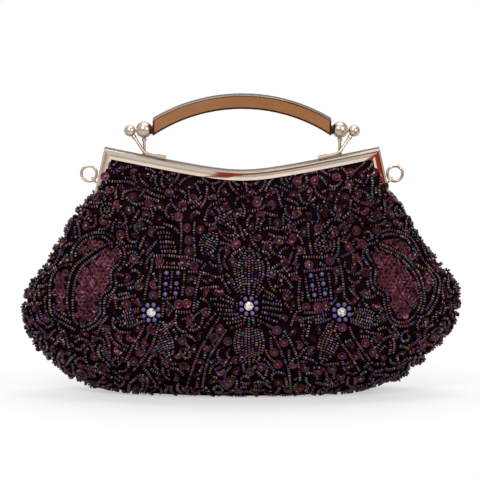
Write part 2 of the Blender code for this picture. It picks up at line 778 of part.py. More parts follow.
def flower(label, x, z):
    """Round beads on a disc, with a cut crystal in the middle, flat against the bag."""
    probe = FLOWER_RADIUS
    y = -section_depth(x, *bag_size(z))
    above = -section_depth(x, *bag_size(z + probe))
    beside = -section_depth(x + probe, *bag_size(z))
    upward = Vector((0, above - y, probe))
    sideways = Vector((probe, beside - y, 0))
    out = sideways.cross(upward).normalized()
    base = Vector((x, y, z)) + out * (TOUCH_GAP + FLOWER_SPARE)
    disc_radius = FLOWER_RADIUS + FLOWER_BEAD_RADIUS / 2
    disc = turned(
        label + "_flower_beads", rod_profile(disc_radius, 0, FLOWER_BACKING), VIOLET, base, out
    )
    turn = Vector((0, 0, 1)).rotation_difference(out)
    for bead in range(FLOWER_BEADS):
        angle = math.tau * bead / FLOWER_BEADS
        offset = Vector(
            (FLOWER_RADIUS * math.cos(angle), FLOWER_RADIUS * math.sin(angle), FLOWER_BEAD_RADIUS)
        )
        mesh = mesh_from(
            label + "_bead",
            lambda working: bmesh.ops.create_uvsphere(
                working, u_segments=7, v_segments=4, radius=FLOWER_BEAD_RADIUS
            ),
        )
        combine(disc, add_object(f"{label}_bead_{bead}", mesh, VIOLET, base + turn @ offset), "UNION")
    profile = [
        (radius * CRYSTAL_RADIUS, height * CRYSTAL_HEIGHT) for radius, height in CRYSTAL_SHARES
    ]
    crystal = turned(
        label + "_flower_crystal", profile, CRYSTAL, base + out * (FLOWER_BACKING + TOUCH_GAP), out
    )
    crystal.modifiers["turn"].steps = 8
    crystal.modifiers["turn"].render_steps = 8


clear_scene()
PARTS = new_collection("beaded_evening_clutch")
CUTTERS = new_collection("cutters")
NICKEL = new_material("nickel", (0.62, 0.56, 0.50), 0.16, 1.0)
TAN = new_material("tan_lacquer", (0.38, 0.16, 0.05), 0.30)
SATIN = new_material("beaded_satin", (0.022, 0.006, 0.016), 0.45)
LINING = new_material("lining_satin", (0.030, 0.012, 0.024), 0.40)
PAPER = new_material("paper_cord", (0.55, 0.48, 0.36), 0.85)
BOARD = new_material("grey_board", (0.30, 0.28, 0.26), 0.85)
VIOLET = new_material("violet_beads", (0.10, 0.06, 0.34), 0.18)
CRYSTAL = new_material("crystal", (0.88, 0.90, 0.95), 0.04)

FRONT_EAR_X = arm_x(ARM_END_Z)
BACK_EAR_X = FRONT_EAR_X - EAR_THICKNESS - TOUCH_GAP
frame_half("front_frame", -1, FRONT_EAR_X)
frame_half("back_frame", 1, BACK_EAR_X)
paper_cord("front_paper_cord", -1)
paper_cord("back_paper_cord", 1)
cloth_panel("front_panel", -1, SKIRT_SIDE_DROP)
cloth_panel("back_panel", 1, RIM_DROP)
soft_body()
handle()
for side_name, side_hand in (("left", -1), ("right", 1)):
    stack = 2 * EAR_THICKNESS + TOUCH_GAP
    hinge_rivet(side_name + "_hinge_rivet", side_hand, FRONT_EAR_X, stack)
    post_axis = handle_post(side_name + "_handle_post", side_hand)
    big_centre = (side_hand * BIG_BALL_X, BIG_BALL_Y, BIG_BALL_Z)
    ball(
        side_name + "_handle_ball",
        BIG_BALL_RADIUS,
        CLASP_WIRE_RADIUS,
        big_centre,
        post_axis,
        NICKEL,
    )
    clasp(side_name, side_hand)
    ring_and_lug(side_name, side_hand)
for place, (flower_x, flower_z) in FLOWER_PLACES.items():
    flower(place, flower_x, flower_z)
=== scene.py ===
"""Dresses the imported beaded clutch: satin cover, seed beads, sequins, bead flowers, nickel
and lacquer. Metres, +Z up, front towards -Y."""

import itertools
import math

import bpy
import numpy as np
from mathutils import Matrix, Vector


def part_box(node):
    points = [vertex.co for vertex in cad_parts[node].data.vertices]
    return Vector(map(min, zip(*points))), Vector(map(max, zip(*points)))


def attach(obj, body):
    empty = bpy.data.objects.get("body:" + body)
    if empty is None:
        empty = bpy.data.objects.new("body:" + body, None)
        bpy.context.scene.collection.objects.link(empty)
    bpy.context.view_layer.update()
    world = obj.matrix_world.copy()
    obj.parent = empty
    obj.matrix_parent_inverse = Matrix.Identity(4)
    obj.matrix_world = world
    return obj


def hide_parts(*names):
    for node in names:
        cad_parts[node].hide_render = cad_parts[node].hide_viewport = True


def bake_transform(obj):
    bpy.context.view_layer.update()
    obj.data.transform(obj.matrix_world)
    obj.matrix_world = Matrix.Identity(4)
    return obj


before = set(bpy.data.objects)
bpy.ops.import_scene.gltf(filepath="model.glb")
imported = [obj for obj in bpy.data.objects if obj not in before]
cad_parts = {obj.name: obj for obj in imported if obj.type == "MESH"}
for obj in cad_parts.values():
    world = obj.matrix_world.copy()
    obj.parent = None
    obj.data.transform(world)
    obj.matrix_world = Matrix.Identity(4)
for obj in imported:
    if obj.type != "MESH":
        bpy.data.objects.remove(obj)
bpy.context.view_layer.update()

MM = 0.001

# Camera, as the photograph was taken
PHOTO_SIZE = 480
UNIT = 0.00062  # metres for each pixel of the photograph
MIDDLE_PX = 242.0
BASE_PX = 392.8
ELEVATION = math.radians(9.0)
CAMERA_DISTANCE = 2.0
SENSOR_MM = 36.0
FAR_CLIP = 20
AIM_Z = (BASE_PX - PHOTO_SIZE / 2) * UNIT / math.cos(ELEVATION)
PROJECTION_ROUNDS = 7

# Lamps: place, size and watts
LAMP_TARGET = (0, 0, 0.08)
LAMPS = {
    "key_lamp": ((-0.46, -0.95, 1.00), (0.36, 0.26), 6.0),
    "fill_lamp": ((0.75, -0.85, 0.6), (0.18, 0.26), 3.4),
    "top_lamp": ((0.05, 0.20, 1.1), (0.6, 0.4), 5.0),
}
FILL_LIGHT = 0.32  # of the world, on all that isn't a reflection
WALL_IN_FRONT, WALL_BEHIND, CEILING = 0.62, 0.47, 0.35  # of the room that reflections see
FLOOR_REACH = 4.0
FLOOR_WHITE, FLOOR_FADE = (0.48, 1.0), (0.08, 0.19)  # how white it is between two distances
# Cards that the frame's face reflects: their Y, columns of (x, lowest z, highest z), colour
CARDS = {
    "red_card": (
        -0.10,
        (
            (-0.0340, 0.074, 0.082), (-0.0240, 0.096, 0.108), (-0.0160, 0.107, 0.134),
            (-0.0100, 0.112, 0.174), (-0.0035, 0.134, 0.176), (0.0020, 0.147, 0.168),
        ),
        (0.40, 0.060, 0.024),
    ),
    "brown_card": (
        -0.10,
        ((0.0020, 0.147, 0.168), (0.0260, 0.150, 0.176), (0.0900, 0.166, 0.184)),
        (0.24, 0.100, 0.064),
    ),
    "right_red_card": (
        -0.06,
        ((0.0815, 0.085, 0.154), (0.1350, 0.085, 0.154)),
        (0.36, 0.050, 0.020),
    ),
}

# The frame's bar, which the cloth's top edge follows
BAR_MIDDLE_Z = 0.1393
BAR_SLOPE = 0.21
BAR_SOFTENING = 0.0040
BAR_COVER = 0.0058  # from the bar's top down to the cloth's edge
TOP_HALF_WIDTH = 0.0828
TOP_MIDDLE = BAR_MIDDLE_Z - BAR_COVER

# Outline of the cloth in millimetres: height, half width to the left and to the right
OUTLINE = (
    (0.0, 58.0, 56.0), (0.6, 68.0, 63.5), (2.0, 79.5, 73.5), (5.5, 92.5, 85.0),
    (10.5, 103.5, 96.5), (15.6, 110.5, 104.0), (20.6, 117.0, 110.0), (25.6, 122.5, 115.5),
    (30.6, 126.5, 120.5), (35.7, 129.5, 124.5), (40.7, 132.0, 127.8), (45.7, 133.6, 130.2),
    (50.7, 134.0, 132.0), (55.8, 133.6, 132.8), (60.8, 132.4, 133.0), (65.8, 130.3, 131.8),
    (70.8, 126.8, 129.0), (75.9, 122.6, 124.8), (80.9, 119.4, 120.4), (85.9, 116.6, 116.2),
    (90.9, 113.4, 111.8), (96.0, 110.4, 108.0), (101.0, 107.6, 105.0), (106.0, 104.4, 102.6),
    (111.0, 101.4, 100.8), (116.0, 98.4, 98.8), (120.4, 95.8, 96.0), (123.2, 93.0, 93.2),
    (125.6, 90.2, 90.2), (128.0, 89.0, 89.0), (132.0, 87.2, 87.2), (136.0, 85.6, 85.6),
    (140.0, 84.1, 84.1), (144.0, 82.9, 82.9), (148.0, 82.2, 82.2),
)
# Depth of the cloth from the middle plane, by height in the middle of the bag
DEPTHS = (
    (0.0, 12.6), (0.9, 15.0), (2.4, 17.6), (5.0, 20.2), (10.0, 23.4), (20.0, 26.8), (30.0, 28.7),
    (42.0, 29.4), (55.0, 29.2), (65.0, 27.9), (75.0, 25.9), (85.0, 23.5), (95.0, 21.0),
    (107.0, 17.6), (114.0, 15.2), (122.0, 12.0), (128.0, 9.0), (131.6, 6.0), (133.3, 4.3),
)
LEVEL_BELOW = 0.090  # above this height the cloth's lines lean towards the bar
SECTION_POWER = 2.5
SQUARER_BY_ARMS = 4.5
SECTION_ROUNDING = 0.62
CHANNEL_DEPTH = 0.0042
ON_ARM_DEPTH = 0.0064
ARM_SHARES = (0.86, 0.94)  # of the half width, where the cloth wraps the arms
CHANNEL_HEIGHTS = (0.1200, 0.1252)
# Heights between which something sets in and between which it ends
ON_ARMS = ((0.1190, 0.1240), (0.1400, 0.1445))
BY_ARMS = ((0.106, 0.115), (0.1245, 0.130))
GATHERED = ((0.085, 0.118), (0.121, 0.130))
DENTED = ((0.004, 0.03), (0.1, 0.12))
GATHER_DEPTH = 0.45 * MM
DENT_DEPTH = 0.8 * MM
# Rows of the cover and the lining, as shares of the height in the middle
LOW_LEVELS = (0.0, 0.3, 0.8, 1.6, 2.8, 4.4, 6.5, 9.0)
LEVEL_SPAN = 0.1333
LEVELS = np.concatenate([np.array(LOW_LEVELS) * MM, np.linspace(0.0118, 0.1, 46)]) / LEVEL_SPAN
SHARES = np.concatenate([LEVELS, np.linspace(0.765, 1.0, 26)])
CLIMBS_FROM = 0.6  # share above which the rows turn to the bar's slope
SEAM_CROWDING = 0.35  # how much closer the columns stand near the seams
COVER_COLUMNS, LINING_COLUMNS = 181, 91
COVER_THICKNESS, LINING_THICKNESS = 0.5 * MM, 0.4 * MM
LINING_INSET = 1.1 * MM
LINING_GAP = 0.0003

# The frame's metal
CORNER_X = 0.0847
BAR_STEPS = 20
ARM_DROPS = (0.020, 0.012)  # below the corner, where the arm's face has points
ARM_LEAN = 0.225
ARM_END_Z = 0.1186
ARM_FACE = 0.0052  # width of an arm's face that stays free of beads
BARE_ARM_FROM = 0.1415  # above this height
HALF_GAP = 0.00015  # from a half's metal to the middle plane
FACE_THICKNESS = 0.00008
# Its face in millimetres: down from the bar's top, out from the middle plane
FACE_TOP = ((-0.13, 0.3), (-0.13, 1.6), (-0.13, 3.0))
ROUNDING_CENTRE, ROUNDING_RADIUS, ROUNDING_END = (1.37, 4.2), 1.5, 84
FACE_FRONT = (
    (2.0, 5.81), (2.8, 5.89), (3.4, 5.91), (4.2, 5.89), (4.9, 5.83), (5.4, 5.74), (5.6, 5.5),
    (5.64, 5.1), (5.6, 4.7),
)
SHARP_FROM = math.radians(38)
UPWARD_FACING = (0.14, 0.42)  # how far a surface faces upwards where its colour takes a painted shade, darker to dim the lamps' highlight
UPWARD_DULLNESS = 0.34

# The handle, its posts, the clasps and the rings
BIG_BALL = (0.0604, 0.0010, 0.1646)
BIG_BALL_RADIUS = 0.0051
SMALL_BALL_RADIUS = 0.0036
FERRULE_RADIUS = 0.0028  # between a large ball and the handle's end
FERRULE_STAGES = (-1.3 * MM, 0.25 * MM)  # from the large ball's surface
WIRE_RADIUS = 0.00095
COLLAR_RADIUS = 0.0015
COLLAR_LENGTH = 0.0019
POST_FOOT, POST_FOOT_LENGTH, POST_FOOT_RADIUS = 0.0006, 0.0009, 0.0014
CLASP_ELBOW_X = 0.0594
CLASP_FOOT_X = 0.0472
CLASP_FOOT_Y = -0.00295
CLASP_LIFT = 0.0003
BEND_REACH = 3.2 * MM
SLEEVE_RADIUS = 0.0014
SLEEVE_LENGTH = 0.0052
CHAMFER = 0.12 * MM
SUNK = 0.1 * MM  # how deep a clasp arm goes into its ball
RING_RADIUS = 0.0047
RING_WIRE_RADIUS = 0.0009
RING_STEPS, RING_SEGMENTS = 64, 18
HANDLE_RADIUS = 0.10302  # of the bar's middle line
HANDLE_CENTRE_Z = 0.0794
NICKEL_EDGE = (HANDLE_RADIUS + 3.3 * MM, HANDLE_RADIUS + 3.7 * MM)


def smooth_curve(points):
    """A smooth function through (x, y) points that doesn't overshoot them."""
    xs, ys = (np.array(column, float) for column in zip(*points))
    steps = np.diff(xs)
    slopes = np.diff(ys) / steps
    tangents = np.concatenate([slopes[:1], np.zeros(len(xs) - 2), slopes[-1:]])
    product = slopes[:-1] * slopes[1:]
    total = slopes[:-1] + slopes[1:]
    tangents[1:-1] = np.where(product > 0, 2 * product / np.where(total == 0, 1, total), 0)

    def value(x):
        x = np.clip(x, xs[0], xs[-1])
        i = np.clip(np.searchsorted(xs, x, side="right") - 1, 0, len(steps) - 1)
        t = (x - xs[i]) / steps[i]
        return (
            (1 + 2 * t) * (1 - t) ** 2 * ys[i]
            + t * (1 - t) ** 2 * steps[i] * tangents[i]
            + t * t * (3 - 2 * t) * ys[i + 1]
            + t * t * (t - 1) * steps[i] * tangents[i + 1]
        )

    return value


LEFT_WIDTH = smooth_curve([(z * MM, left * MM) for z, left, _ in OUTLINE])
RIGHT_WIDTH = smooth_curve([(z * MM, right * MM) for z, _, right in OUTLINE])
DEPTH = smooth_curve([(z * MM, y * MM) for z, y in DEPTHS])


def unit(vectors):
    """The same directions at length 1."""
    return vectors / np.maximum(np.linalg.norm(vectors, axis=-1, keepdims=True), 1e-12)


def at_right_angles(vectors, axes):
    """The parts of vectors at right angles to unit axes, at length 1."""
    return unit(vectors - axes * (vectors * axes).sum(-1, keepdims=True))


def soft_step(x, low, high):
    t = np.clip((x - low) / (high - low), 0, 1)
    return t * t * (3 - 2 * t)


def stretch(x, rise, fall):
    """1 between two soft steps and 0 outside them."""
    return soft_step(x, *rise) * (1 - soft_step(x, *fall))


def bar_z(x):
    return BAR_MIDDLE_Z + np.hypot(BAR_SOFTENING, BAR_SLOPE * x) - BAR_SOFTENING


def top_z(u):
    return bar_z(u * TOP_HALF_WIDTH) - BAR_COVER


def edge_z(s):
    """Height of the cloth's top edge at a seam share s."""
    return top_z(np.sin(s * math.pi / 2))


def half_width(u, z):
    return np.where(u < 0, LEFT_WIDTH(z), RIGHT_WIDTH(z))


def waves(side, x, z):
    """The cloth's slack: gathers under the bar and broad dents lower down."""
    gathers = np.sin(x * 560 + z * 360 + side) + 0.6 * np.sin(x * 930 - z * 210 + 2 * side)
    dents = np.sin(x * 61 + z * 47 + 1.3 * side) * np.sin(z * 88 - x * 23 + side)
    dents = dents + 0.5 * np.sin(x * 133 - z * 119 + 2.1) * np.sin(z * 171 + x * 37)
    gathers = gathers * GATHER_DEPTH * stretch(z, *GATHERED)
    return gathers + dents * DENT_DEPTH * stretch(z, *DENTED)


def cloth_depth(side, u, z):
    """How far the cloth stands from the middle plane at a share u of the half width."""
    lean = (TOP_MIDDLE - LEVEL_BELOW) / (top_z(u) - LEVEL_BELOW)
    level = np.where(z > LEVEL_BELOW, LEVEL_BELOW + (z - LEVEL_BELOW) * lean, z)
    on_arms = stretch(z, *ON_ARMS) * soft_step(np.abs(u), *ARM_SHARES)
    edge = CHANNEL_DEPTH * soft_step(z, *CHANNEL_HEIGHTS)
    edge = edge + (ON_ARM_DEPTH - CHANNEL_DEPTH) * on_arms
    power = SECTION_POWER + SQUARER_BY_ARMS * stretch(z, *BY_ARMS)
    full = (1 - np.clip(np.abs(u), 0, 1) ** power) ** SECTION_ROUNDING
    slack = waves(side, u * half_width(u, z), z) * full**0.5
    return edge + np.maximum(DEPTH(level) - edge, 0) * full + slack * (level < TOP_MIDDLE)


def cloth_point(side, s, z):
    """A point on the cloth: s runs from -1 at the left seam to 1 at the right one."""
    u = np.sin(np.clip(s, -1, 1) * math.pi / 2)
    x = u * half_width(u, z)
    return np.stack(np.broadcast_arrays(x, side * cloth_depth(side, u, z), z), -1)


def cloth_slopes(side, s, z):
    """Point, slope along s, slope along z and outward unit normal."""
    ds, dz = 0.002, 0.0002
    point = cloth_point(side, s, z)
    along = (cloth_point(side, s + ds, z) - cloth_point(side, s - ds, z)) / (2 * ds)
    up = (cloth_point(side, s, z + dz) - cloth_point(side, s, z - dz)) / (2 * dz)
    return point, along, up, unit(np.cross(along, up) * -side)


def s_of(x, z):
    """The seam share s of a place that is given by x."""
    return np.arcsin(np.clip(x / half_width(x, z), -0.999, 0.999)) * 2 / math.pi


def from_photo(points):
    """(s, z) on the front for pixels of the photograph."""
    points = np.array(points, float)
    centre = PHOTO_SIZE / 2
    nearness = np.ones(len(points))
    z = (BASE_PX - points[:, 1]) * UNIT / math.cos(ELEVATION)
    for _ in range(PROJECTION_ROUNDS):
        across, down = (centre + (points[:, i] - centre) * nearness for i in (0, 1))
        x = (across - MIDDLE_PX) * UNIT
        y = cloth_point(-1, s_of(x, z), z)[:, 1]
        z = ((BASE_PX - down) * UNIT - y * math.sin(ELEVATION)) / math.cos(ELEVATION)
        towards = -y * math.cos(ELEVATION) + (z - AIM_Z) * math.sin(ELEVATION)
        nearness = 1 - towards / CAMERA_DISTANCE
    return np.stack([s_of(x, z), z], -1)


# Meshes


def new_object(name, data):
    obj = bpy.data.objects.new(name, data)
    bpy.context.scene.collection.objects.link(obj)
    return obj


def add_piece(name, points, groups, material, smooth=True, tints=None):
    """A mesh object. groups are arrays of faces, each array with its own corner count."""
    mesh = bpy.data.meshes.new(name)
    loops = np.concatenate([group.ravel() for group in groups])
    counts = np.concatenate([np.full(len(group), group.shape[1]) for group in groups])
    mesh.vertices.add(len(points))
    mesh.vertices.foreach_set("co", np.asarray(points, np.float32).ravel())
    mesh.loops.add(len(loops))
    mesh.loops.foreach_set("vertex_index", loops.astype(np.int32))
    mesh.polygons.add(len(counts))
    mesh.polygons.foreach_set("loop_start", (np.cumsum(counts) - counts).astype(np.int32))
    mesh.polygons.foreach_set("use_smooth", np.full(len(counts), smooth))
    mesh.update(calc_edges=True)
    mesh.validate()
    if tints is not None:
        layer = mesh.attributes.new("tint", "FLOAT_COLOR", "POINT")
        rgba = np.concatenate([np.clip(tints, 0, 1), np.ones((len(tints), 1))], 1)
        layer.data.foreach_set("color", rgba.astype(np.float32).ravel())
    mesh.materials.append(material)
    return new_object(name, mesh)


def grid_faces(rows, columns, closed=False, loop=False):
    """Quads of a grid of points. closed joins each row's ends, loop the last row and the first."""
    places = np.arange(rows if loop else rows - 1), np.arange(columns if closed else columns - 1)
    row, column = np.meshgrid(*places, indexing="ij")
    after, beside = (row + 1) % rows * columns, (column + 1) % columns
    row = row * columns
    corners = [row + column, row + beside, after + beside, after + column]
    return np.stack(corners, -1).reshape(-1, 4)


def tube_faces(rings, segments):
    """Quads of a tube and the two faces that close its ends."""
    first = np.arange(segments)
    ends = np.stack([first[::-1], first + (rings - 1) * segments])
    return [grid_faces(rings, segments, closed=True), ends]


def lathe(profile, segments, loop=False):
    """Points and faces of a solid turned about X, from (along, radius) pairs."""
    along, radii = np.array(profile, float).T
    angles = np.arange(segments) * math.tau / segments
    y, z = (np.outer(radii, wave(angles)).ravel() for wave in (np.cos, np.sin))
    points = np.stack([np.repeat(along, segments), y, z], 1)
    if loop:
        return points, [grid_faces(len(profile), segments, closed=True, loop=True)]
    return points, tube_faces(len(profile), segments)


def stamp(template, centres, forward, normals, scales=1.0):
    """Copies of a template at centres, its X along forward and its Z along the normals."""
    points, groups = template
    count = len(centres)
    scales = np.broadcast_to(scales, (count, 3))
    axes = np.stack([forward, np.cross(normals, forward), normals], 1) * scales[:, :, None]
    placed = centres[:, None, :] + np.einsum("pk,nkc->npc", points, axes)
    shift = np.arange(count)[:, None, None] * len(points)
    moved = [(group[None] + shift).reshape(-1, group.shape[1]) for group in groups]
    return placed.reshape(-1, 3), moved


def joined(parts):
    """Points and faces of several solids as one."""
    points, groups, start = [], [], 0
    for part_points, part_groups in parts:
        points.append(part_points)
        groups += [group + start for group in part_groups]
        start += len(part_points)
    return np.concatenate(points), groups


# Materials


class Nodes:
    """A node tree, with short calls for what the materials share."""

    def __init__(self, tree):
        self.tree = tree

    def node(self, kind, inputs=None, **settings):
        made = self.tree.nodes.new("ShaderNode" + kind)
        for key, value in settings.items():
            setattr(made, key, value)
        for key, value in (inputs or {}).items():
            if isinstance(value, bpy.types.NodeSocket):
                self.tree.links.new(value, made.inputs[key])
            else:
                made.inputs[key].default_value = value
        return made

    def place(self, kind="Object"):
        return self.node("TexCoord").outputs[kind]

    def part(self, vector, axis):
        return self.node("SeparateXYZ", {0: vector}).outputs[axis]

    def math(self, operation, first, second):
        return self.node("Math", {0: first, 1: second}, operation=operation).outputs[0]

    def vector_math(self, operation, *values):
        return self.node("VectorMath", dict(enumerate(values)), operation=operation).outputs

    def noise(self, scale, detail=3.0, kind="Object"):
        inputs = {"Vector": self.place(kind), "Scale": scale, "Detail": detail}
        return self.node("TexNoise", inputs).outputs["Fac"]

    def span(self, value, low, high, from_low=0.3, from_high=0.7):
        """A value that runs from low to high as another runs from from_low to from_high."""
        inputs = {"Value": value, "From Min": from_low, "From Max": from_high}
        inputs.update({"To Min": low, "To Max": high})
        return self.node("MapRange", inputs).outputs["Result"]

    def mix(self, factor, first, second):
        """A mix of two colours, each three numbers or a socket."""
        first, second = ((*c, 1) if isinstance(c, (tuple, list)) else c for c in (first, second))
        return self.node("Mix", {0: factor, 6: first, 7: second}, data_type="RGBA").outputs[2]

    def clouds(self, noise, first, second):
        """Two colours that change over in clouds."""
        return self.mix(self.span(noise, 0, 1), first, second)


class Shader(Nodes):
    """A material whose colour, roughness and bump come from nodes."""

    def __init__(self, name, **settings):
        self.material = bpy.data.materials.new(name)
        self.material.use_nodes = True
        super().__init__(self.material.node_tree)
        self.surface = self.tree.nodes["Principled BSDF"]
        for socket, value in settings.items():
            self.surface.inputs[socket.replace("_", " ")].default_value = value

    def dressed(self, colour, roughness, height=None, strength=0.04, distance=0.02 * MM):
        """The material with its colour, its roughness and a bump from a height."""
        links = {"Base Color": colour, "Roughness": roughness}
        if height:
            inputs = {"Height": height, "Strength": strength, "Distance": distance}
            links["Normal"] = self.node("Bump", inputs).outputs["Normal"]
        for target, socket in links.items():
            self.tree.links.new(socket, self.surface.inputs[target])
        return self.material

    def shown(self, surface):
        """The material with another shader than its own at the output."""
        self.tree.links.new(surface, self.tree.nodes["Material Output"].inputs["Surface"])
        return self.material


def nickel_material(name, light, dark, smooth, dull, painted_upper_shade=None):
    """Nickel plate; where given, surfaces that face upwards get a painted shade, a darker colour
    that dims the lamps' highlight there, and are made duller.
    """
    shader = Shader(name, Metallic=1.0)
    haze = shader.noise(90, 4)
    colour, roughness = shader.clouds(haze, light, dark), shader.span(haze, smooth, dull)
    # Painted shade: a darker colour on upward-facing surfaces in place of the lamps' highlight;
    # their roughness rises there too
    if painted_upper_shade:
        height = shader.part(shader.place("Normal"), "Z")
        colour = shader.mix(shader.span(height, 0, 1, *UPWARD_FACING), colour, painted_upper_shade)
        dulling = shader.span(height, 0, UPWARD_DULLNESS, *UPWARD_FACING)
        roughness = shader.math("ADD", roughness, dulling)
    return shader.dressed(colour, roughness, shader.noise(900, 2))


def handle_metal_material():
    """Nickel on the handle's upper edge; below it the colour turns to a painted shade of dark
    brown.
    """
    shader = Shader("handle_metal", Metallic=1.0)
    flat = shader.vector_math("MULTIPLY", shader.place(), (1, 0, 1))[0]
    offset = shader.vector_math("SUBTRACT", flat, (0, 0, HANDLE_CENTRE_Z))[0]
    upper = shader.span(shader.vector_math("LENGTH", offset)["Value"], 0, 1, *NICKEL_EDGE)
    haze = shader.noise(90, 4)
    nickel = shader.clouds(haze, (0.60, 0.52, 0.45), (0.50, 0.43, 0.37))
    # Painted shade: dark brown on the lower rim and the ends, which lie in shadow
    colour = shader.mix(upper, (0.085, 0.032, 0.018), nickel)
    return shader.dressed(colour, shader.span(haze, 0.16, 0.26), shader.noise(900, 2))


def lacquer_material():
    shader = Shader("tan_lacquer", Coat_Weight=0.35, Coat_Roughness=0.12)
    grain = shader.noise(1400, 2)
    colour = shader.clouds(shader.noise(45, 3), (0.355, 0.140, 0.043), (0.300, 0.114, 0.033))
    return shader.dressed(colour, shader.span(grain, 0.28, 0.38), grain, strength=0.05)


def satin_material(name, light, dark, upper=None):
    """Woven satin: fine floats of thread painted lighter as a painted sheen, over a slow change of
    shade; where given, a painted sheen of a lighter colour higher up.
    """
    shader = Shader(name, Specular_IOR_Level=0.02)
    place = shader.place()
    threads = []
    for direction, scale in (("X", 420), ("Z", 294)):
        inputs = {"Vector": place, "Scale": scale, "Distortion": 1.2, "Detail": 1.0}
        wave = shader.node("TexWave", inputs, bands_direction=direction)
        threads.append(wave.outputs["Fac"])
    weave = shader.math("MULTIPLY", *threads)
    shade = shader.clouds(shader.noise(70, 4), dark, light)
    if upper:
        # Painted sheen: clouds towards a lighter plum that set in higher up, near the bar
        painted_sheen = shader.clouds(shader.noise(95, 3), dark, upper)
        height = shader.span(shader.part(place, "Z"), 0, 1, 0.096, 0.122)
        shade = shader.mix(height, shade, painted_sheen)
    # Painted sheen on the floats of thread: they are painted lighter
    painted_float_sheen = [min(channel * 1.5, 1) for channel in light]
    colour = shader.mix(shader.span(weave, 0, 0.35, 0, 1), shade, painted_float_sheen)
    roughness = shader.span(shader.noise(260, 3), 0.42, 0.62)
    return shader.dressed(colour, roughness, weave, strength=0.3, distance=0.05 * MM)


def tinted_material(name, film_scale, film_share, film, scale, smooth, dull, **settings):
    """A lustre that takes each bead's or sequin's own tint, under a cloudy dark film."""
    shader = Shader(name, **settings)
    tint = shader.node("Attribute", attribute_name="tint").outputs["Color"]
    cloud = shader.span(shader.noise(film_scale, 2), 0, film_share)
    roughness = shader.span(shader.noise(scale, 2), smooth, dull)
    return shader.dressed(shader.mix(cloud, tint, film), roughness)


def violet_material():
    shader = Shader("violet_beads", Metallic=0.55, Coat_Weight=0.4, Coat_Roughness=0.08)
    cloud = shader.noise(300, 3)
    colour = shader.clouds(cloud, (0.148, 0.103, 0.305), (0.094, 0.061, 0.205))
    return shader.dressed(colour, shader.span(cloud, 0.24, 0.34))


def crystal_material():
    shader = Shader("crystal", Metallic=0.4, Coat_Weight=1.0, Coat_Roughness=0.02)
    # Painted glints and reflections: cells of the stone painted near white or grey, as facets that
    # catch light or dark
    cells = shader.node("TexVoronoi", {"Vector": shader.place(), "Scale": 820.0})
    painted_glint = shader.node("SeparateColor", {0: cells.outputs["Color"]}).outputs[0]
    glint_share = shader.span(painted_glint, 0, 1, 0.2, 0.6)
    colour = shader.mix(glint_share, (0.42, 0.38, 0.34), (0.96, 0.94, 0.89))
    return shader.dressed(colour, shader.span(painted_glint, 0.03, 0.08))


def plain_material(name, light, dark, roughness, scale):
    shader = Shader(name)
    grain = shader.noise(scale, 5)
    rough = shader.span(grain, roughness - 0.06, roughness + 0.06)
    return shader.dressed(shader.clouds(grain, dark, light), rough, grain, 0.3, 0.1 * MM)


NICKEL = nickel_material("nickel", (0.68, 0.565, 0.465), (0.59, 0.485, 0.395), 0.25, 0.32)
# The frame's third colour is a painted shade on its upward-facing rounded edges
FRAME_NICKEL = nickel_material(
    "frame_nickel", (0.85, 0.71, 0.60), (0.77, 0.635, 0.53), 0.07, 0.11, (0.38, 0.32, 0.27)
)
HANDLE_METAL = handle_metal_material()
PLUM = (0.0070, 0.0013, 0.0030)
DEEP_PLUM = (0.0008, 0.0002, 0.0003)
# A painted sheen: the lighter plum of the satin higher up
PAINTED_SHEEN_PLUM = (0.0105, 0.0022, 0.0056)
SATIN = satin_material("plum_satin", PLUM, DEEP_PLUM, PAINTED_SHEEN_PLUM)
LINING = satin_material("lining_satin", (0.040, 0.016, 0.032), (0.022, 0.009, 0.018))
SEEDS = tinted_material(
    "seed_beads", 700, 0.6, (0.03, 0.012, 0.02), 400, 0.12, 0.19, Metallic=1.0
)
SEQUINS = tinted_material(
    "sequins", 240, 0.5, (0.035, 0.006, 0.012), 500, 0.20, 0.32,
    Metallic=0.9, Coat_Weight=0.12, Coat_Roughness=0.12,
)
VIOLET = violet_material()
CRYSTAL = crystal_material()
# Looks of the CAD nodes by a word in their names; the others are nickel
NODE_LOOKS = {
    "paper": plain_material("kraft_paper", (0.55, 0.46, 0.34), (0.42, 0.34, 0.24), 0.85, 800),
    "board": plain_material("grey_board", (0.34, 0.32, 0.30), (0.26, 0.25, 0.23), 0.88, 600),
    "handle_bar": HANDLE_METAL,
    "inlay": lacquer_material(),
}
for name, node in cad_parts.items():
    for slot in node.material_slots:
        slot.material = next((NODE_LOOKS[word] for word in NODE_LOOKS if word in name), NICKEL)


# Camera, lamps and floor


def stand(obj, place, target):
    """Puts a camera or a lamp at a place and turns it to a target."""
    obj.location = place
    obj.rotation_euler = (Vector(target) - obj.location).to_track_quat("-Z", "Y").to_euler()


def add_camera():
    data = bpy.data.cameras.new("camera")
    data.sensor_width = SENSOR_MM
    data.lens = SENSOR_MM * CAMERA_DISTANCE / (PHOTO_SIZE * UNIT)
    data.clip_end = FAR_CLIP
    camera = new_object("camera", data)
    target = Vector(((PHOTO_SIZE / 2 - MIDDLE_PX) * UNIT, 0, AIM_Z))
    reach = Vector((0, -math.cos(ELEVATION), math.sin(ELEVATION)))
    stand(camera, target + reach * CAMERA_DISTANCE, target)
    bpy.context.scene.camera = camera


def add_lamp(name, place, size, watts):
    data = bpy.data.lights.new(name, "AREA")
    data.shape = "RECTANGLE"
    data.size, data.size_y = size
    data.energy = watts
    stand(new_object(name, data), place, LAMP_TARGET)


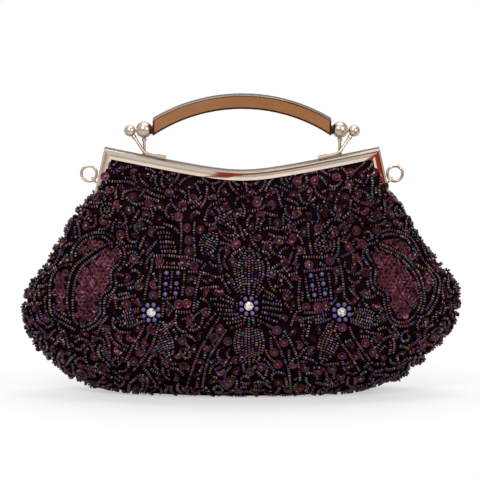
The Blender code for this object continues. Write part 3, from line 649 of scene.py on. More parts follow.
def add_world():
    """White for the camera, a bright uneven room for reflections, an even grey for the rest."""
    world = bpy.data.worlds.new("studio")
    bpy.context.scene.world = world
    world.use_nodes = True
    nodes = Nodes(world.node_tree)
    path = nodes.node("LightPath").outputs
    seen = nodes.math("MAXIMUM", path["Is Camera Ray"], path["Is Transmission Ray"])
    place = nodes.place("Generated")
    walls = nodes.span(nodes.part(place, "Y"), WALL_IN_FRONT, WALL_BEHIND, -0.5, 0.5)
    ceiling = nodes.span(nodes.part(place, "Z"), 0, CEILING, 0.25, 0.75)
    blotches = nodes.span(nodes.noise(2.2, 1.0, "Generated"), -0.28, 0.2, 0.35, 0.65)
    room = nodes.math("ADD", nodes.math("ADD", walls, ceiling), blotches)
    light = nodes.node("Mix", {0: path["Is Glossy Ray"], 2: FILL_LIGHT, 3: room}).outputs[0]
    light = nodes.node("Mix", {0: seen, 2: light, 3: 1.0}).outputs[0]
    nodes.tree.links.new(light, world.node_tree.nodes["Background"].inputs["Color"])


def add_floor():
    """A pale floor that the camera sees turn white away from the object."""
    shader = Shader("studio_floor", Roughness=0.75, Base_Color=(0.92, 0.92, 0.92, 1))
    oval = shader.vector_math("MULTIPLY", shader.place(), (1, 1.6, 0))[0]
    away = shader.vector_math("LENGTH", oval)["Value"]
    white = shader.span(away, *FLOOR_WHITE, *FLOOR_FADE)
    seen = shader.node("LightPath").outputs["Is Camera Ray"]
    shine = shader.node("Emission", {"Color": (1, 1, 1, 1), "Strength": 1.0}).outputs[0]
    inputs = {0: shader.math("MULTIPLY", seen, white), 1: shader.surface.outputs[0], 2: shine}
    material = shader.shown(shader.node("MixShader", inputs).outputs[0])
    corners = [(-1, -1, 0), (1, -1, 0), (1, 1, 0), (-1, 1, 0)]
    face = np.array([[0, 1, 2, 3]])
    add_piece("floor", np.array(corners) * FLOOR_REACH, [face], material)


def add_card(name, y, columns, colour):
    """An upright card that only reflections see."""
    shader = Shader(name)
    inputs = {"Color": shader.clouds(shader.noise(30, 2), colour, [c * 0.6 for c in colour])}
    material = shader.shown(shader.node("Emission", inputs).outputs[0])
    corners = np.array([(x, y, z) for x, *heights in columns for z in heights])
    card = add_piece(name, corners, [grid_faces(len(columns), 2)], material)
    card.visible_camera = card.visible_diffuse = card.visible_shadow = False


bpy.context.scene.view_settings.view_transform = "Standard"
add_camera()
add_world()
add_floor()
for name, card in CARDS.items():
    add_card(name, *card)
for name, lamp in LAMPS.items():
    add_lamp(name, *lamp)


# Cover and lining


def cloth_sheet(name, side, inset, columns, thickness, material):
    """One side of the bag: rows of points that end along the bar and the arms."""
    even = np.linspace(-1, 1, columns)
    s = SEAM_CROWDING * np.sin(even * math.pi / 2) + (1 - SEAM_CROWDING) * even
    above = edge_z(s) - TOP_MIDDLE
    shares = SHARES[:, None]
    climb = np.clip((shares - CLIMBS_FROM) / (1 - CLIMBS_FROM), 0, 1)
    rise = shares * TOP_MIDDLE + above * climb
    points, _, _, normals = cloth_slopes(side, np.broadcast_to(s, rise.shape), rise)
    if inset:
        points = points - normals * inset
        points[:, :, 1] = side * np.maximum(points[:, :, 1] * side, LINING_GAP)
    base = points[:1].copy()
    base[..., 1] = 0
    rows = np.concatenate([base, points])
    faces = grid_faces(len(rows), columns)
    faces = faces[:, ::-1] if side > 0 else faces
    sheet = add_piece(name, rows.reshape(-1, 3), [faces], material)
    wall = sheet.modifiers.new("cloth", "SOLIDIFY")
    wall.thickness = thickness
    wall.offset = -1
    return sheet


def move(piece, side):
    """Front cloth has its placing baked into its mesh; the back is attached to the back half."""
    if side < 0:
        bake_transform(piece)
    else:
        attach(piece, "back_half")


for label, side in (("front", -1), ("back", 1)):
    cover = cloth_sheet(label + "_cover", side, 0, COVER_COLUMNS, COVER_THICKNESS, SATIN)
    sizes = LINING_INSET, LINING_COLUMNS, LINING_THICKNESS
    lining = cloth_sheet(label + "_lining", side, *sizes, LINING)
    move(cover, side)
    move(lining, side)
    if side < 0:
        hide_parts("front_panel")
    else:
        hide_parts("back_panel", "bag_shell")
        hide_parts("lining")


# Metal


def add_metal(name, parts, body, node=None, material=NICKEL):
    """A metal piece of one or more solids, in place of a CAD node where one is given."""
    piece = add_piece(name, *joined(parts), material)
    piece.data.set_sharp_from_angle(angle=SHARP_FROM)
    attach(piece, body)
    if node:
        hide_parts(node)


def frame_line():
    """Outer line of the frame in X and Z: left arm, bar and right arm, each on its own."""
    bar = [(x, float(bar_z(x))) for x in np.linspace(-CORNER_X, CORNER_X, BAR_STEPS + 1)]
    corner_z = bar[0][1]
    heights = (ARM_END_Z, *(corner_z - drop for drop in ARM_DROPS), corner_z)
    arm = [(CORNER_X + ARM_LEAN * (corner_z - z), z) for z in heights]
    return [[(-x, z) for x, z in arm], bar, arm[::-1]]


def face_section():
    """The closed profile of the frame's face: its outside and, inside that, its inside."""
    angles = np.radians(np.linspace(0, ROUNDING_END, 22))
    arc = np.stack([-np.cos(angles), np.sin(angles)], 1) * ROUNDING_RADIUS + ROUNDING_CENTRE
    outside = np.concatenate([FACE_TOP, arc, FACE_FRONT]) * MM + (0, HALF_GAP)
    slopes = unit(np.gradient(outside, axis=0))
    inside = outside + np.stack([slopes[:, 1], -slopes[:, 0]], 1) * FACE_THICKNESS
    return np.concatenate([outside, inside[::-1]])


def band_faces(rows, columns):
    """Quads round a closed section from row to row, and the quads that close both ends."""
    half = np.arange(columns // 2 - 1)
    cap = np.stack([half, columns - 1 - half, columns - 2 - half, half + 1], 1)
    quads = grid_faces(rows, columns, closed=True)
    return np.concatenate([quads, cap, cap[:, ::-1] + (rows - 1) * columns])


def frame_skin(name, side, body):
    """The plated face of a frame half: a rounded top, a face that is a little domed, a lip."""
    section = face_section()
    stretches = frame_line()
    line = np.array(stretches[0] + stretches[1][1:] + stretches[2][1:])
    along = unit(np.diff(line, axis=0))
    inward = np.stack([along[:, 1], -along[:, 0]], 1)
    mitres = unit(np.concatenate([inward[:1], inward[:-1] + inward[1:], inward[-1:]]))
    sides = np.concatenate([inward[:1], inward])
    mitres = mitres / (mitres * sides).sum(1, keepdims=True)
    parts, first = [], 0
    for part in stretches:
        last = first + len(part)
        rows = line[first:last, None] + mitres[first:last, None] * section[:, :1]
        depth = np.broadcast_to(side * section[:, 1], rows.shape[:2])
        points = np.stack([rows[..., 0], depth, rows[..., 1]], -1).reshape(-1, 3)
        faces = band_faces(len(part), len(section))
        parts.append((points, [faces[:, ::-1] if side > 0 else faces]))
        first = last - 1  # the next stretch starts at the same mitre
    add_metal(name, parts, body, material=FRAME_NICKEL)


def turned(profile, centre, axis, segments=40):
    """A lathe-turned solid with its X laid along an axis."""
    axis = unit(np.array(axis, float))
    across = unit(np.cross(axis, [0, 1.0, 0] if abs(axis[1]) < 0.9 else [1.0, 0, 0]))
    template = lathe([(along, max(radius, 0.02 * MM)) for along, radius in profile], segments)
    return stamp(template, np.array([centre], float), axis[None], across[None])


def swept(points, radius, segments=20):
    """A round rod along points."""
    points = np.array(points, float)
    ways = unit(np.gradient(points, axis=0))
    side = np.cross(ways[0], [0, 1.0, 0])
    angles = np.arange(segments) * math.tau / segments
    rings = []
    for point, way in zip(points, ways):
        side = at_right_angles(side, way)
        other = np.cross(way, side)
        circle = np.outer(np.cos(angles), side) + np.outer(np.sin(angles), other)
        rings.append(point + radius * circle)
    return np.concatenate(rings), tube_faces(len(points), segments)


def ball(radius, centre, axis):
    """A ball with a flat at its foot, as wide as the wire, where a collar stands on it."""
    angles = np.linspace(0.03, math.pi - math.asin(WIRE_RADIUS / radius), 25)[::-1]
    return turned([(radius * math.cos(a), radius * math.sin(a)) for a in angles], centre, axis)


def rod(stages, centre, axis, segments=24):
    """A stepped rod from (from, to, radius) stages, with small chamfers."""
    profile = []
    for low, high, radius in stages:
        thin = radius - CHAMFER
        profile += [(low, thin), (low + CHAMFER, radius), (high - CHAMFER, radius), (high, thin)]
    return turned(profile, centre, axis, segments)


def handle_end(label, hand):
    """Post, large ball and ferrule at one end of the handle, as in the CAD."""
    centre = np.array([hand * BIG_BALL[0], *BIG_BALL[1:]])
    foot = np.array([hand * BIG_BALL[0], -CLASP_FOOT_Y, float(bar_z(BIG_BALL[0]))])
    axis = centre - foot
    under = np.linalg.norm(axis) - BIG_BALL_RADIUS
    wire_from, collar_from, collar_to = (
        POST_FOOT + POST_FOOT_LENGTH, under - COLLAR_LENGTH, under - 0.25 * MM
    )
    stages = [
        (POST_FOOT, wire_from, POST_FOOT_RADIUS),
        (wire_from, collar_from, WIRE_RADIUS),
        (collar_from, collar_to, COLLAR_RADIUS),
        (collar_to, under + 0.6 * MM, WIRE_RADIUS),
    ]
    add_metal(label + "_post", [rod(stages, foot, axis)], "back_half", label + "_handle_post")
    big_ball = ball(BIG_BALL_RADIUS, centre, axis)
    add_metal(label + "_ball", [big_ball], "back_half", label + "_handle_ball")
    low, high = (BIG_BALL_RADIUS + end for end in FERRULE_STAGES)
    ferrule = rod([(low, high, FERRULE_RADIUS)], centre, (-hand, 0, 0), 32)
    # The ferrule takes the handle's painted shade of dark brown
    add_metal(label + "_ferrule", [ferrule], "back_half", material=HANDLE_METAL)


def box_middle(node):
    low, high = (np.array(corner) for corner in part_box(node))
    return (low + high) / 2


def clasp(label, hand):
    """Clasp arm with collar and sleeve, and its small ball, as in the CAD."""
    centre = box_middle(label + "_clasp_ball")
    lift = (SLEEVE_RADIUS + CLASP_LIFT) * math.hypot(1, BAR_SLOPE)
    end, elbow = (
        np.array([hand * x, CLASP_FOOT_Y, float(bar_z(x)) + lift])
        for x in (CLASP_FOOT_X, CLASP_ELBOW_X)
    )
    to_foot, to_ball = unit(end - elbow), unit(centre - elbow)
    path = [end]
    for share in np.linspace(0, 1, 13):
        before = elbow + to_foot * BEND_REACH * (1 - share)
        after = elbow + to_ball * BEND_REACH * share
        path.append(before + (after - before) * share)
    arm_end = np.linalg.norm(centre - elbow) - SMALL_BALL_RADIUS
    path += [elbow + to_ball * (arm_end - COLLAR_LENGTH), elbow + to_ball * (arm_end - SUNK)]
    collar = (arm_end - COLLAR_LENGTH, arm_end - 0.2 * MM, COLLAR_RADIUS)
    sleeve = (-0.3 * MM, SLEEVE_LENGTH, SLEEVE_RADIUS)
    parts = [swept(path, WIRE_RADIUS), rod([collar], elbow, to_ball), rod([sleeve], end, -to_foot)]
    add_metal(label + "_clasp", parts, "front_half", label + "_clasp_arm")
    small_ball = ball(SMALL_BALL_RADIUS, centre, to_ball)
    add_metal(label + "_small_ball", [small_ball], "front_half", label + "_clasp_ball")


def strap_ring(label):
    """A ring of round wire, smooth where the CAD's is faceted."""
    angles = np.arange(RING_STEPS) * math.tau / RING_STEPS
    tube = np.arange(RING_SEGMENTS) * math.tau / RING_SEGMENTS
    reach = RING_RADIUS + RING_WIRE_RADIUS * np.cos(tube)
    x, z = np.outer(np.cos(angles), reach), np.outer(np.sin(angles), reach)
    y = np.broadcast_to(RING_WIRE_RADIUS * np.sin(tube), x.shape)
    points = np.stack([x, y, z], -1).reshape(-1, 3) + box_middle(label + "_strap_ring")
    faces = grid_faces(RING_STEPS, RING_SEGMENTS, closed=True, loop=True)
    add_metal(label + "_ring", [(points, [faces])], label + "_ring", label + "_strap_ring")


for label, hand in (("left", -1), ("right", 1)):
    handle_end(label, hand)
    clasp(label, hand)
    strap_ring(label)
frame_skin("front_frame_face", -1, "front_half")
frame_skin("back_frame_face", 1, "back_half")


# Beadwork: the strings are drawn over the photograph, in its pixels


LEFT_STRINGS = (
    ((180.8, 220), (181.5, 237), (180.8, 254.4)),
    ((194.5, 222), (194.2, 240), (195.2, 257)),
    ((153.3, 256.2), (166, 255.6), (179.7, 257), (188.9, 257.9), (202.7, 262.5)),
    ((155.6, 267.3), (170, 267.4), (186, 268.8)),
    ((160.7, 268), (160.1, 283), (159.6, 298)),
    ((172.8, 270.5), (171.4, 282), (170.5, 293.5)),
    ((184.9, 268), (183.8, 282), (182, 296.3)),
    ((161.5, 278.4), (172, 277.8), (183, 276.6)),
    ((161, 289.6), (171, 289), (182, 288)),
    ((159, 299.2), (170, 298.4), (182, 295.8)),
    ((152.7, 258.5), (151.6, 268.2), (148.1, 279.7), (145.8, 291.2), (144.7, 300.4)),
    ((200.9, 270.5), (198, 284.3), (195.8, 293.5), (194, 305), (193.5, 311.8)),
    ((187.7, 271.7), (193, 272), (198, 271.7)),
    ((175, 311.3), (184, 312), (193.5, 311.3)),
    ((157, 233.8), (164, 232.6), (171, 234)),
    ((159, 237.8), (166, 237.2), (173, 238.4)),
    ((160, 242.2), (167, 241.8), (175, 243)),
    ((160, 247), (168, 246.6), (176, 247.6)),
    ((161, 251.4), (169, 251), (177, 251.8)),
    ((145.3, 322.2), (140.7, 333.6), (134.4, 342.8), (129.2, 354.3), (124.6, 361.2)),
    ((159.6, 323.3), (156.7, 332.5), (152.7, 344), (146.4, 354.3), (133.2, 370.4)),
    ((219.9, 316.4), (210.7, 331.4), (200.4, 348.6), (193.5, 365.8), (186.6, 386.5)),
    ((226.4, 329), (218.4, 341.7), (210.3, 355.5), (205.7, 368), (202.3, 386.5)),
)
RIGHT_STRINGS = (
    ((268.9, 330.2), (275.8, 339.4), (282.7, 355.5), (288.4, 369.2), (290.7, 387.6)),
    ((283.8, 330.2), (290.7, 341.7), (296.4, 355.5), (298.7, 366), (300, 380)),
    ((308.1, 222.3), (308.1, 231.5), (309.3, 240.7), (311.6, 254.4)),
    ((308.6, 224), (314.4, 221.6), (321, 223), (325, 227)),
    ((302.4, 257.3), (314.4, 257.3), (323.6, 257.3), (332.8, 254.4)),
    ((337.4, 257.9), (340.8, 269.4), (343.1, 284.3), (344.3, 298)),
    ((303, 271.7), (314.4, 270.5), (325.9, 268.8), (335.1, 268.8)),
    ((304.7, 272.8), (305.8, 282), (308.7, 299.2)),
    ((315.6, 274), (318.5, 284.3), (320.8, 298.1)),
    ((328.2, 272.8), (329.9, 284.3), (331.1, 299.2)),
    ((306.4, 280.8), (317, 280), (329.4, 279.1)),
    ((308.7, 290), (319, 289.4), (330.5, 288.9)),
    ((308.7, 300.4), (320, 299.6), (331.1, 298.6)),
    ((300, 277.4), (298.9, 288.9), (298.4, 300.4), (300, 311.8)),
    ((303, 312.4), (313, 312.4), (323.6, 311.8)),
    ((335.1, 332.5), (342, 344), (348.9, 353.2), (355.8, 364.6), (359.2, 370.4)),
    ((348.9, 325.6), (353.5, 337.1), (360.4, 347.4), (367.2, 356.6), (371.8, 362.9)),
)
# Outlines of the left paisley: its crown, its right side and the two lines that part its lobes
LEFT_PAISLEY_STRINGS = (
    (
        (115.4, 239.9), (110.4, 235.3), (103.5, 232.6), (95.9, 232.6), (89, 234.5),
        (82.8, 237.6), (77.5, 243), (73.7, 249.1), (72.1, 254.4), (72.5, 261.3),
    ),
    (
        (116.5, 242.2), (121.1, 245.2), (124.9, 250.6), (124.9, 256.7), (124.2, 263.6),
        (120.3, 269), (115.7, 272.8), (115.4, 277.4), (116.5, 284.3), (115.7, 288.1),
        (111.2, 294.2), (106.6, 296.5), (105, 301.1), (104.3, 308), (105, 311.8),
        (102.7, 317.2), (98.1, 323.3), (93.6, 326.4), (87.4, 329.4), (80.5, 330.2),
    ),
    (
        (113.4, 242.2), (107.3, 244.5), (101.2, 246.8), (95.1, 250.6), (90.5, 253.7),
        (82.8, 259.8), (76.7, 265.1), (73.7, 269.7), (70.6, 276.6), (69.1, 283.5),
        (67.9, 290.4), (67.5, 298.8), (68.3, 308), (70.4, 316),
    ),
    (
        (72.9, 264.4), (65.2, 265.9), (58.4, 269), (53, 276), (50.4, 286), (50.6, 296),
        (50.4, 304), (51.5, 312), (56.1, 318.7), (63, 322.5), (69.8, 326.4), (76, 330),
    ),
)
LEFT_PAISLEY_SECOND_STRINGS = (
    (
        (112, 243.4), (105, 237.4), (97, 236.6), (90.5, 238.2), (84.6, 241.4),
        (80, 246.6), (76.8, 252), (76, 257.5),
    ),
    (
        (116, 246.4), (120.4, 251.6), (120.8, 257.2), (119.6, 262.6), (115.8, 266.6),
        (111.6, 271), (111, 278), (112, 284), (110.6, 287.4), (106.6, 291.4),
        (102.2, 294.8), (100.6, 301), (100.2, 308), (100.4, 312), (98.4, 315.8),
        (94.8, 320.4), (90.6, 323.2), (85.6, 325.6), (80.8, 326),
    ),
    (
        (113.4, 246), (105, 250.2), (96.4, 256.4), (88, 262.2), (82.4, 267.2),
        (79.4, 272.6), (76, 280), (74.8, 287.2), (73.6, 294.8), (73.2, 304.2),
        (74, 317), (76.4, 322), (80.5, 326),
    ),
    ((54.8, 303), (54.4, 308), (56, 312.4), (60, 315.6), (66, 319), (72, 322.4)),
)
LEFT_PAISLEY_LOBES = (
    (
        (113, 248), (117.5, 252), (117.5, 258), (115, 263), (108.5, 269), (107.5, 278),
        (108.6, 284), (104, 289), (98.6, 293), (97, 301), (96.8, 311), (92, 318),
        (85.6, 322), (79.4, 321), (77, 314), (76.6, 303), (77.2, 294), (78.4, 286),
        (81, 277), (85.4, 269.4), (92, 264), (100, 258.4), (107, 253),
    ),
    (
        (109, 240.8), (103, 240), (96, 240.2), (90, 242), (85, 246), (80.6, 252),
        (79.4, 258), (85, 254), (92, 249), (101, 243.8),
    ),
    (
        (70, 268.8), (66, 270), (61, 272.4), (57.4, 279), (55, 287), (55, 297),
        (57.6, 303), (60, 310), (65.4, 314), (64.2, 306), (63.6, 297), (64.6, 288),
        (66.4, 279),
    ),
)
RIGHT_PAISLEY_STRINGS = (
    (
        (375.2, 238.4), (379.1, 233), (383.7, 230.7), (389.8, 229.6), (395.9, 231.1),
        (402.8, 233.8), (408.1, 236.8), (411.2, 239.9), (413.5, 243), (417.3, 250.6),
        (420.4, 257.5), (426.5, 265.1), (432.6, 272), (437.2, 276.6), (439.5, 283.5),
        (438, 291.1), (436.4, 298.8), (432.6, 305.7), (430.3, 310.3), (425, 314.9),
        (418.8, 317.2),
    ),
    (
        (375.2, 243), (369.1, 243.7), (364.5, 247.5), (362.6, 252.9), (363.4, 258.2),
        (366.8, 263.6), (370.6, 269), (370.3, 275.1), (370.6, 281.2), (372.2, 287.3),
        (376, 291.9), (380.6, 294.2), (383.7, 296.5), (384, 302.6), (385.2, 308),
        (386.7, 314.1), (388.3, 318.7), (392.8, 323.3), (399, 325.6), (405.1, 325.6),
        (411.2, 323.3), (415.8, 319.5),
    ),
    (
        (378.3, 243.7), (385.2, 246), (392.8, 249.8), (399, 253.7), (404.3, 256.7),
        (409.7, 262.8), (415, 269), (418.9, 275.1), (421.2, 281.2), (422.7, 287.3),
        (423.8, 296.5), (423.8, 302.6), (421.9, 308), (420.4, 312.6), (416.6, 317.2),
    ),
)
RIGHT_PAISLEY_SECOND_STRINGS = (
    (
        (376.8, 244.5), (376.8, 240.7), (380.6, 236.8), (386.7, 234.2), (392.8, 234.2),
        (399, 236), (405.1, 238.4), (408.2, 242.2), (411.2, 246.8), (415, 252.1),
        (420, 260.6), (426, 268), (431, 274.6), (434.6, 281), (434, 290), (432, 298),
        (428.4, 305), (424.6, 310),
    ),
    (
        (379.1, 246.8), (385.2, 250.6), (392.8, 253.7), (399, 257.5), (403.6, 262.1),
        (408.9, 267.4), (413.5, 273.6), (416.6, 279.7), (418.9, 287.3), (420.4, 295),
        (420, 301.9), (418.1, 308), (415.8, 311.8), (411.2, 317.9), (405.1, 321.8),
        (399, 321.8), (392.8, 318.7), (389.8, 312.6), (388.3, 304.1), (387.5, 296.5),
        (385.2, 291.1), (381.4, 289.6), (376.8, 286.6), (374.5, 281.2), (375.2, 273.6),
        (375.2, 269), (372.2, 262.8), (368.4, 256.7), (366.5, 252.1), (367, 248.4),
    ),
)
RIGHT_PAISLEY_LOBES = (
    (
        (371, 250.6), (378, 250), (385, 254), (392, 257), (397.6, 260.6), (404, 267),
        (409.6, 274), (413.6, 282), (416, 291), (416.4, 300), (414, 307), (409, 314),
        (404, 318), (399, 318), (395.6, 315), (393.4, 309), (391.6, 300), (390, 292),
        (386, 287), (380, 284), (378.4, 279), (379.2, 271), (377.6, 264), (373, 257),
    ),
    (
        (381.6, 241), (388, 238), (394, 238.2), (401, 240.6), (405, 245), (409, 251),
        (412, 257), (418, 265), (424, 272), (429.6, 279.6), (430, 287), (428.6, 296),
        (427.6, 300), (427, 292), (425, 282), (421.6, 273), (415, 264), (408, 256.8),
        (400, 250), (391, 245),
    ),
)
LEFT_FLOWER_PX, MIDDLE_FLOWER_PX, RIGHT_FLOWER_PX = (152.7, 311.6), (248.7, 306.0), (340.3, 311.7)
# Petals: the flower they start at, their tip, half width, number of strings, spread
PETALS = (
    (MIDDLE_FLOWER_PX, (249.5, 245), 14.5, 9, 40),
    (MIDDLE_FLOWER_PX, (249.5, 369), 14.5, 9, 40),
    (LEFT_FLOWER_PX, (171, 361), 8.5, 6, 30),
    (LEFT_FLOWER_PX, (114, 322), 8.0, 6, 34),
    (RIGHT_FLOWER_PX, (302, 319), 6.5, 5, 24),
    (RIGHT_FLOWER_PX, (320, 364), 9.0, 6, 30),
    (RIGHT_FLOWER_PX, (383, 323), 8.5, 6, 34),
)
PETAL_FROM = 11.0
# A petal's stations: share of its reach, share of its half width
PETAL_STATIONS = ((0.42, 0.86), (0.62, 1.0), (0.84, 0.62))
# Ovals of strings side by side: start, end, half width, number of strings
PATCHES = (
    ((214, 232), (203, 255), 8.0, 6),
    ((322, 238), (326, 238), 5.0, 3),
)
# Rows on both sides of the middle flower
FAN_ROWS = (
    ((223, 293.8), (229, 297.6), (236, 301.4)),
    ((219.5, 297.6), (226, 300.6), (234.4, 303.6)),
    ((213.7, 303.8), (222, 305.4), (233, 307)),
    ((216.8, 309.2), (225, 310.2), (236, 310.6)),
    ((218.6, 313.7), (228, 314.2), (238.7, 314.1)),
    ((223, 318.6), (231, 318.8), (240, 317.4)),
    ((225.7, 323), (234, 322), (242.4, 320)),
    ((230.2, 328), (237, 326), (244.6, 322.6)),
    ((264.2, 290), (270, 293.6), (277, 298)),
    ((262.6, 295), (271, 298.4), (281, 302)),
    ((262, 301.6), (271, 303.4), (282.4, 305)),
    ((262, 307.4), (271, 308.2), (282, 309.6)),
    ((261, 312), (270, 313.6), (281, 316)),
    ((259.4, 316), (268, 318.6), (278, 322)),
    ((257, 319.6), (265, 323.4), (273, 327.6)),
)
# Short rays between the leaves and the fans of the middle flower
RAY_ANGLES = (52, 62, 118, 128, 232, 242, 298, 308)
RAY_FROM, RAY_TO = 14.0, 25.0
# Small rounds of strings: centre, radii of the rings
ROUNDS = (
    ((324.8, 245.3), (2.4, 6.0, 9.6)),
    ((107.5, 210.0), (2.4, 6.2)),
)
FLOWERS = ("left_flower", "middle_flower", "right_flower")
LEFT_PEARL_GRID = (
    (166.6, 273.1), (178.2, 272.9), (165.8, 284.1), (176.6, 283.6), (165.4, 294.5), (175.6, 293.5),
)
RIGHT_PEARL_GRID = (
    (310.7, 275.8), (321.7, 274.4), (312.2, 285.7), (323.2, 283.9), (314.3, 294.9), (324.7, 293.4),
)
PLACED_SEQUINS = (
    (187.2, 228), (188.9, 240), (188.9, 251), (159.6, 262), (182, 263), (194, 265.3),
    (191.2, 279), (189.5, 291), (153.9, 284.9), (153.5, 295.2), (178.5, 304.4), (186.6, 303.8),
    (151.2, 329), (145.3, 342.3), (140, 352), (133.8, 361.2), (220, 329), (214.4, 337),
    (206.9, 346.9), (276.9, 330.2), (283.8, 342.3), (308.7, 264.8), (329.9, 260.8),
    (305.8, 306.7), (317.3, 306.7), (325.9, 305.5), (342, 327.3), (342, 355.5), (355.8, 355.5),
    (350, 345.1), (365, 342.8),
)
# Colours that the beads' lustre takes, with each one's share of the beads
BEAD_TINTS = (
    (0.23, (0.170, 0.062, 0.074)),
    (0.18, (0.138, 0.068, 0.110)),
    (0.12, (0.080, 0.058, 0.170)),
    (0.09, (0.048, 0.120, 0.105)),
    (0.08, (0.150, 0.112, 0.048)),
    (0.16, (0.225, 0.180, 0.178)),
    (0.14, (0.036, 0.012, 0.020)),
)
SEQUIN_TINTS = ((0.118, 0.021, 0.033), (0.100, 0.021, 0.043), (0.066, 0.010, 0.017))
SCALE_TINTS = ((0.155, 0.041, 0.060), (0.115, 0.028, 0.043))
SEED_PITCH = 1.52 * MM
SEED_LIFT = 0.75 * MM
OVER_SEQUIN = 0.55 * MM  # how much higher a bead lies on a sequin
SEQUIN_BELOW = 2.5 * MM  # as near as this, a sequin lifts a bead
BEAD_CELL, SEQUIN_CELL = 2.4 * MM, 7 * MM
CURVE_STEP_PX = 0.8
# Passes that fill the ground: tries, fewest and most beads of a string, room it needs
GROUND_PASSES = ((9000, 7, 12, 1.95 * MM), (14000, 5, 8, 1.9 * MM), (9000, 3, 5, 1.85 * MM))
GROUND_CLEAR = 0.2 * MM
TURN, TURN_CHANGE = 0.22, 0.04  # of a curling string from bead to bead
PATTERN_CLEAR = 1.72 * MM
LOWEST_BEAD = 1.7 * MM
CLEAR_OF_EDGE = 0.7 * MM
SEQUIN_RADIUS = 2.85 * MM
SEQUIN_LIFT = 0.25 * MM
SEQUIN_TRIES, SEQUIN_CLEAR = 5000, 7.2 * MM
# Scattered sequins: their lowest height, their distance from the edge and from beads
SEQUIN_FROM, SEQUIN_BELOW_EDGE, BEAD_CLEAR = 5 * MM, 4 * MM, 2.3 * MM
# How far sequins lean, in degrees
SCATTERED_TILT, PLACED_TILT, SCALE_TILT = (6, 38), (3, 22), (12, 30)
SEQUIN_SHADES, SEED_SHADES = (0.6, 1.3), (0.7, 1.2)
PLACED_CLEAR = 3 * MM
BARE_SEQUINS = 0.55  # share of the sequins that keep the ground's strings off
BARE_REACH = 1.2 * MM
SCALE_RADIUS = 2.15 * MM
SCALE_CLEAR = 0.5 * MM
SCALE_PITCH_PX, SCALE_ROW, SCALE_SPREAD_PX = 4.5, 0.86, 0.45
SEED_SIZES = (0.93, 1.05)
SEED_SHAPE = np.array([1.0, 1.08, 0.96])  # along the hole, across it and upwards
LOOPS = 34  # at each seam
LOOP_HEIGHTS = (0.004, 0.116)
LOOP_LIFT = 0.3 * MM
LOOP_SHARES = (0.93, 0.999)  # of the way from the middle to the seam
LOOP_HALF_WIDTHS, LOOP_RISES = (1.5, 2.4), (1.6, 3.0)  # in millimetres
FLOWER_CLEAR = 5.1 * MM
FLOWER_RING = 5.0 * MM
FLOWER_BEADS = 8
FLOWER_TURN = math.radians(26.5)
FLOWER_BEAD_LIFT, STONE_LIFT, GRID_BEAD_LIFT = 1.15 * MM, 0.35 * MM, 1.1 * MM
PEARL_RADIUS = 1.47 * MM
BANDS = 4  # pieces that the seed beads of a side are parted into
# Label, side and seed of the random draws
SIDES = (("front", -1, 11), ("back", 1, 23))


def bead_template():
    """A seed bead: a short barrel, its hole along X."""
    half = ((0.64, 0.50), (0.58, 0.82), (0.36, 1.05))
    profile = [(-along, radius) for along, radius in half] + [(0.0, 1.12)] + list(half[::-1])
    return lathe([(along * MM, radius * MM) for along, radius in profile], 10)


def pearl_template():
    """A round bead with a hole along X."""
    angles = np.radians(np.linspace(-74, 74, 11))
    return lathe([(math.sin(a) * PEARL_RADIUS, math.cos(a) * PEARL_RADIUS) for a in angles], 18)


def sequin_template():
    """A thin dished disc with a hole and rings, turned about X, its hollow towards +X.

    With it comes the share of the sequin's tint that each point takes: painted highlights on the
    rings, brightest at the rim, and painted shade by the hole.
    """
    # Radius, height and share of the tint: the shares paint highlights on the rings and the rim,
    # and shade by the hole
    top = (
        (0.55, 0.10, 0.06), (0.85, 0.02, 0.5), (1.20, 0.16, 0.9), (1.55, 0.07, 0.6),
        (1.95, 0.30, 1.05), (2.35, 0.30, 0.75), (2.85, 0.62, 1.35),
    )
    under = ((2.88, 0.53, 1.0), (1.95, 0.18, 0.8), (0.50, 0.0, 0.1))
    segments = 13
    shares = np.repeat([share for _, _, share in top + under], segments)
    profile = [(height * MM, radius * MM) for radius, height, _ in top + under]
    return lathe(profile, segments, loop=True), shares


def crystal_template():
    """A cut stone with a flat table, facets round it and a cup below."""
    rings = (
        (2.72, 0.0, 16, 0.0), (2.74, 0.62, 16, 0.0), (2.50, 0.66, 16, 0.0), (1.95, 1.22, 8, 0.5),
        (1.30, 1.62, 8, 0.0),
    )
    points = []
    for radius, height, count, turn in rings:
        for angle in (np.arange(count) + turn) * math.tau / count:
            points.append((math.cos(angle) * radius, math.sin(angle) * radius, height))
    girdle, waist, table = 32, 48, 56  # first points of the three upper rings
    i = np.arange(8)
    after = (i + 1) % 8
    a, b, c = girdle + 2 * i, girdle + 2 * i + 1, girdle + 2 * after
    here, beside, low, high = waist + i, waist + after, table + i, table + after
    facets = [(a, b, here), (b, c, here), (c, beside, here), (low, here, high)]
    facets.append((here, beside, high))
    triangles = np.stack([np.stack(facet, 1) for facet in facets], 1).reshape(-1, 3)
    ends = [np.array([range(table, table + 8)]), np.array([range(15, -1, -1)])]
    return np.array(points) * MM, [grid_faces(3, 16, closed=True), triangles, *ends]


class Near:
    """Finds out whether a place is close to one that was taken before."""

    def __init__(self, size):
        self.size = size
        self.cells = {}

    def key(self, point):
        return tuple(int(math.floor(value / self.size)) for value in point)

    def take(self, points):
        for point in points:
            point = tuple(map(float, point))
            self.cells.setdefault(self.key(point), []).append(point)

    def taken(self, point, reach):
        x, y, z = map(float, point)
        around = [(i - 1, i, i + 1) for i in self.key((x, y, z))]
        for cell in itertools.product(*around):
            for px, py, pz in self.cells.get(cell, ()):
                if (px - x) ** 2 + (py - y) ** 2 + (pz - z) ** 2 < reach * reach:
                    return True
        return False


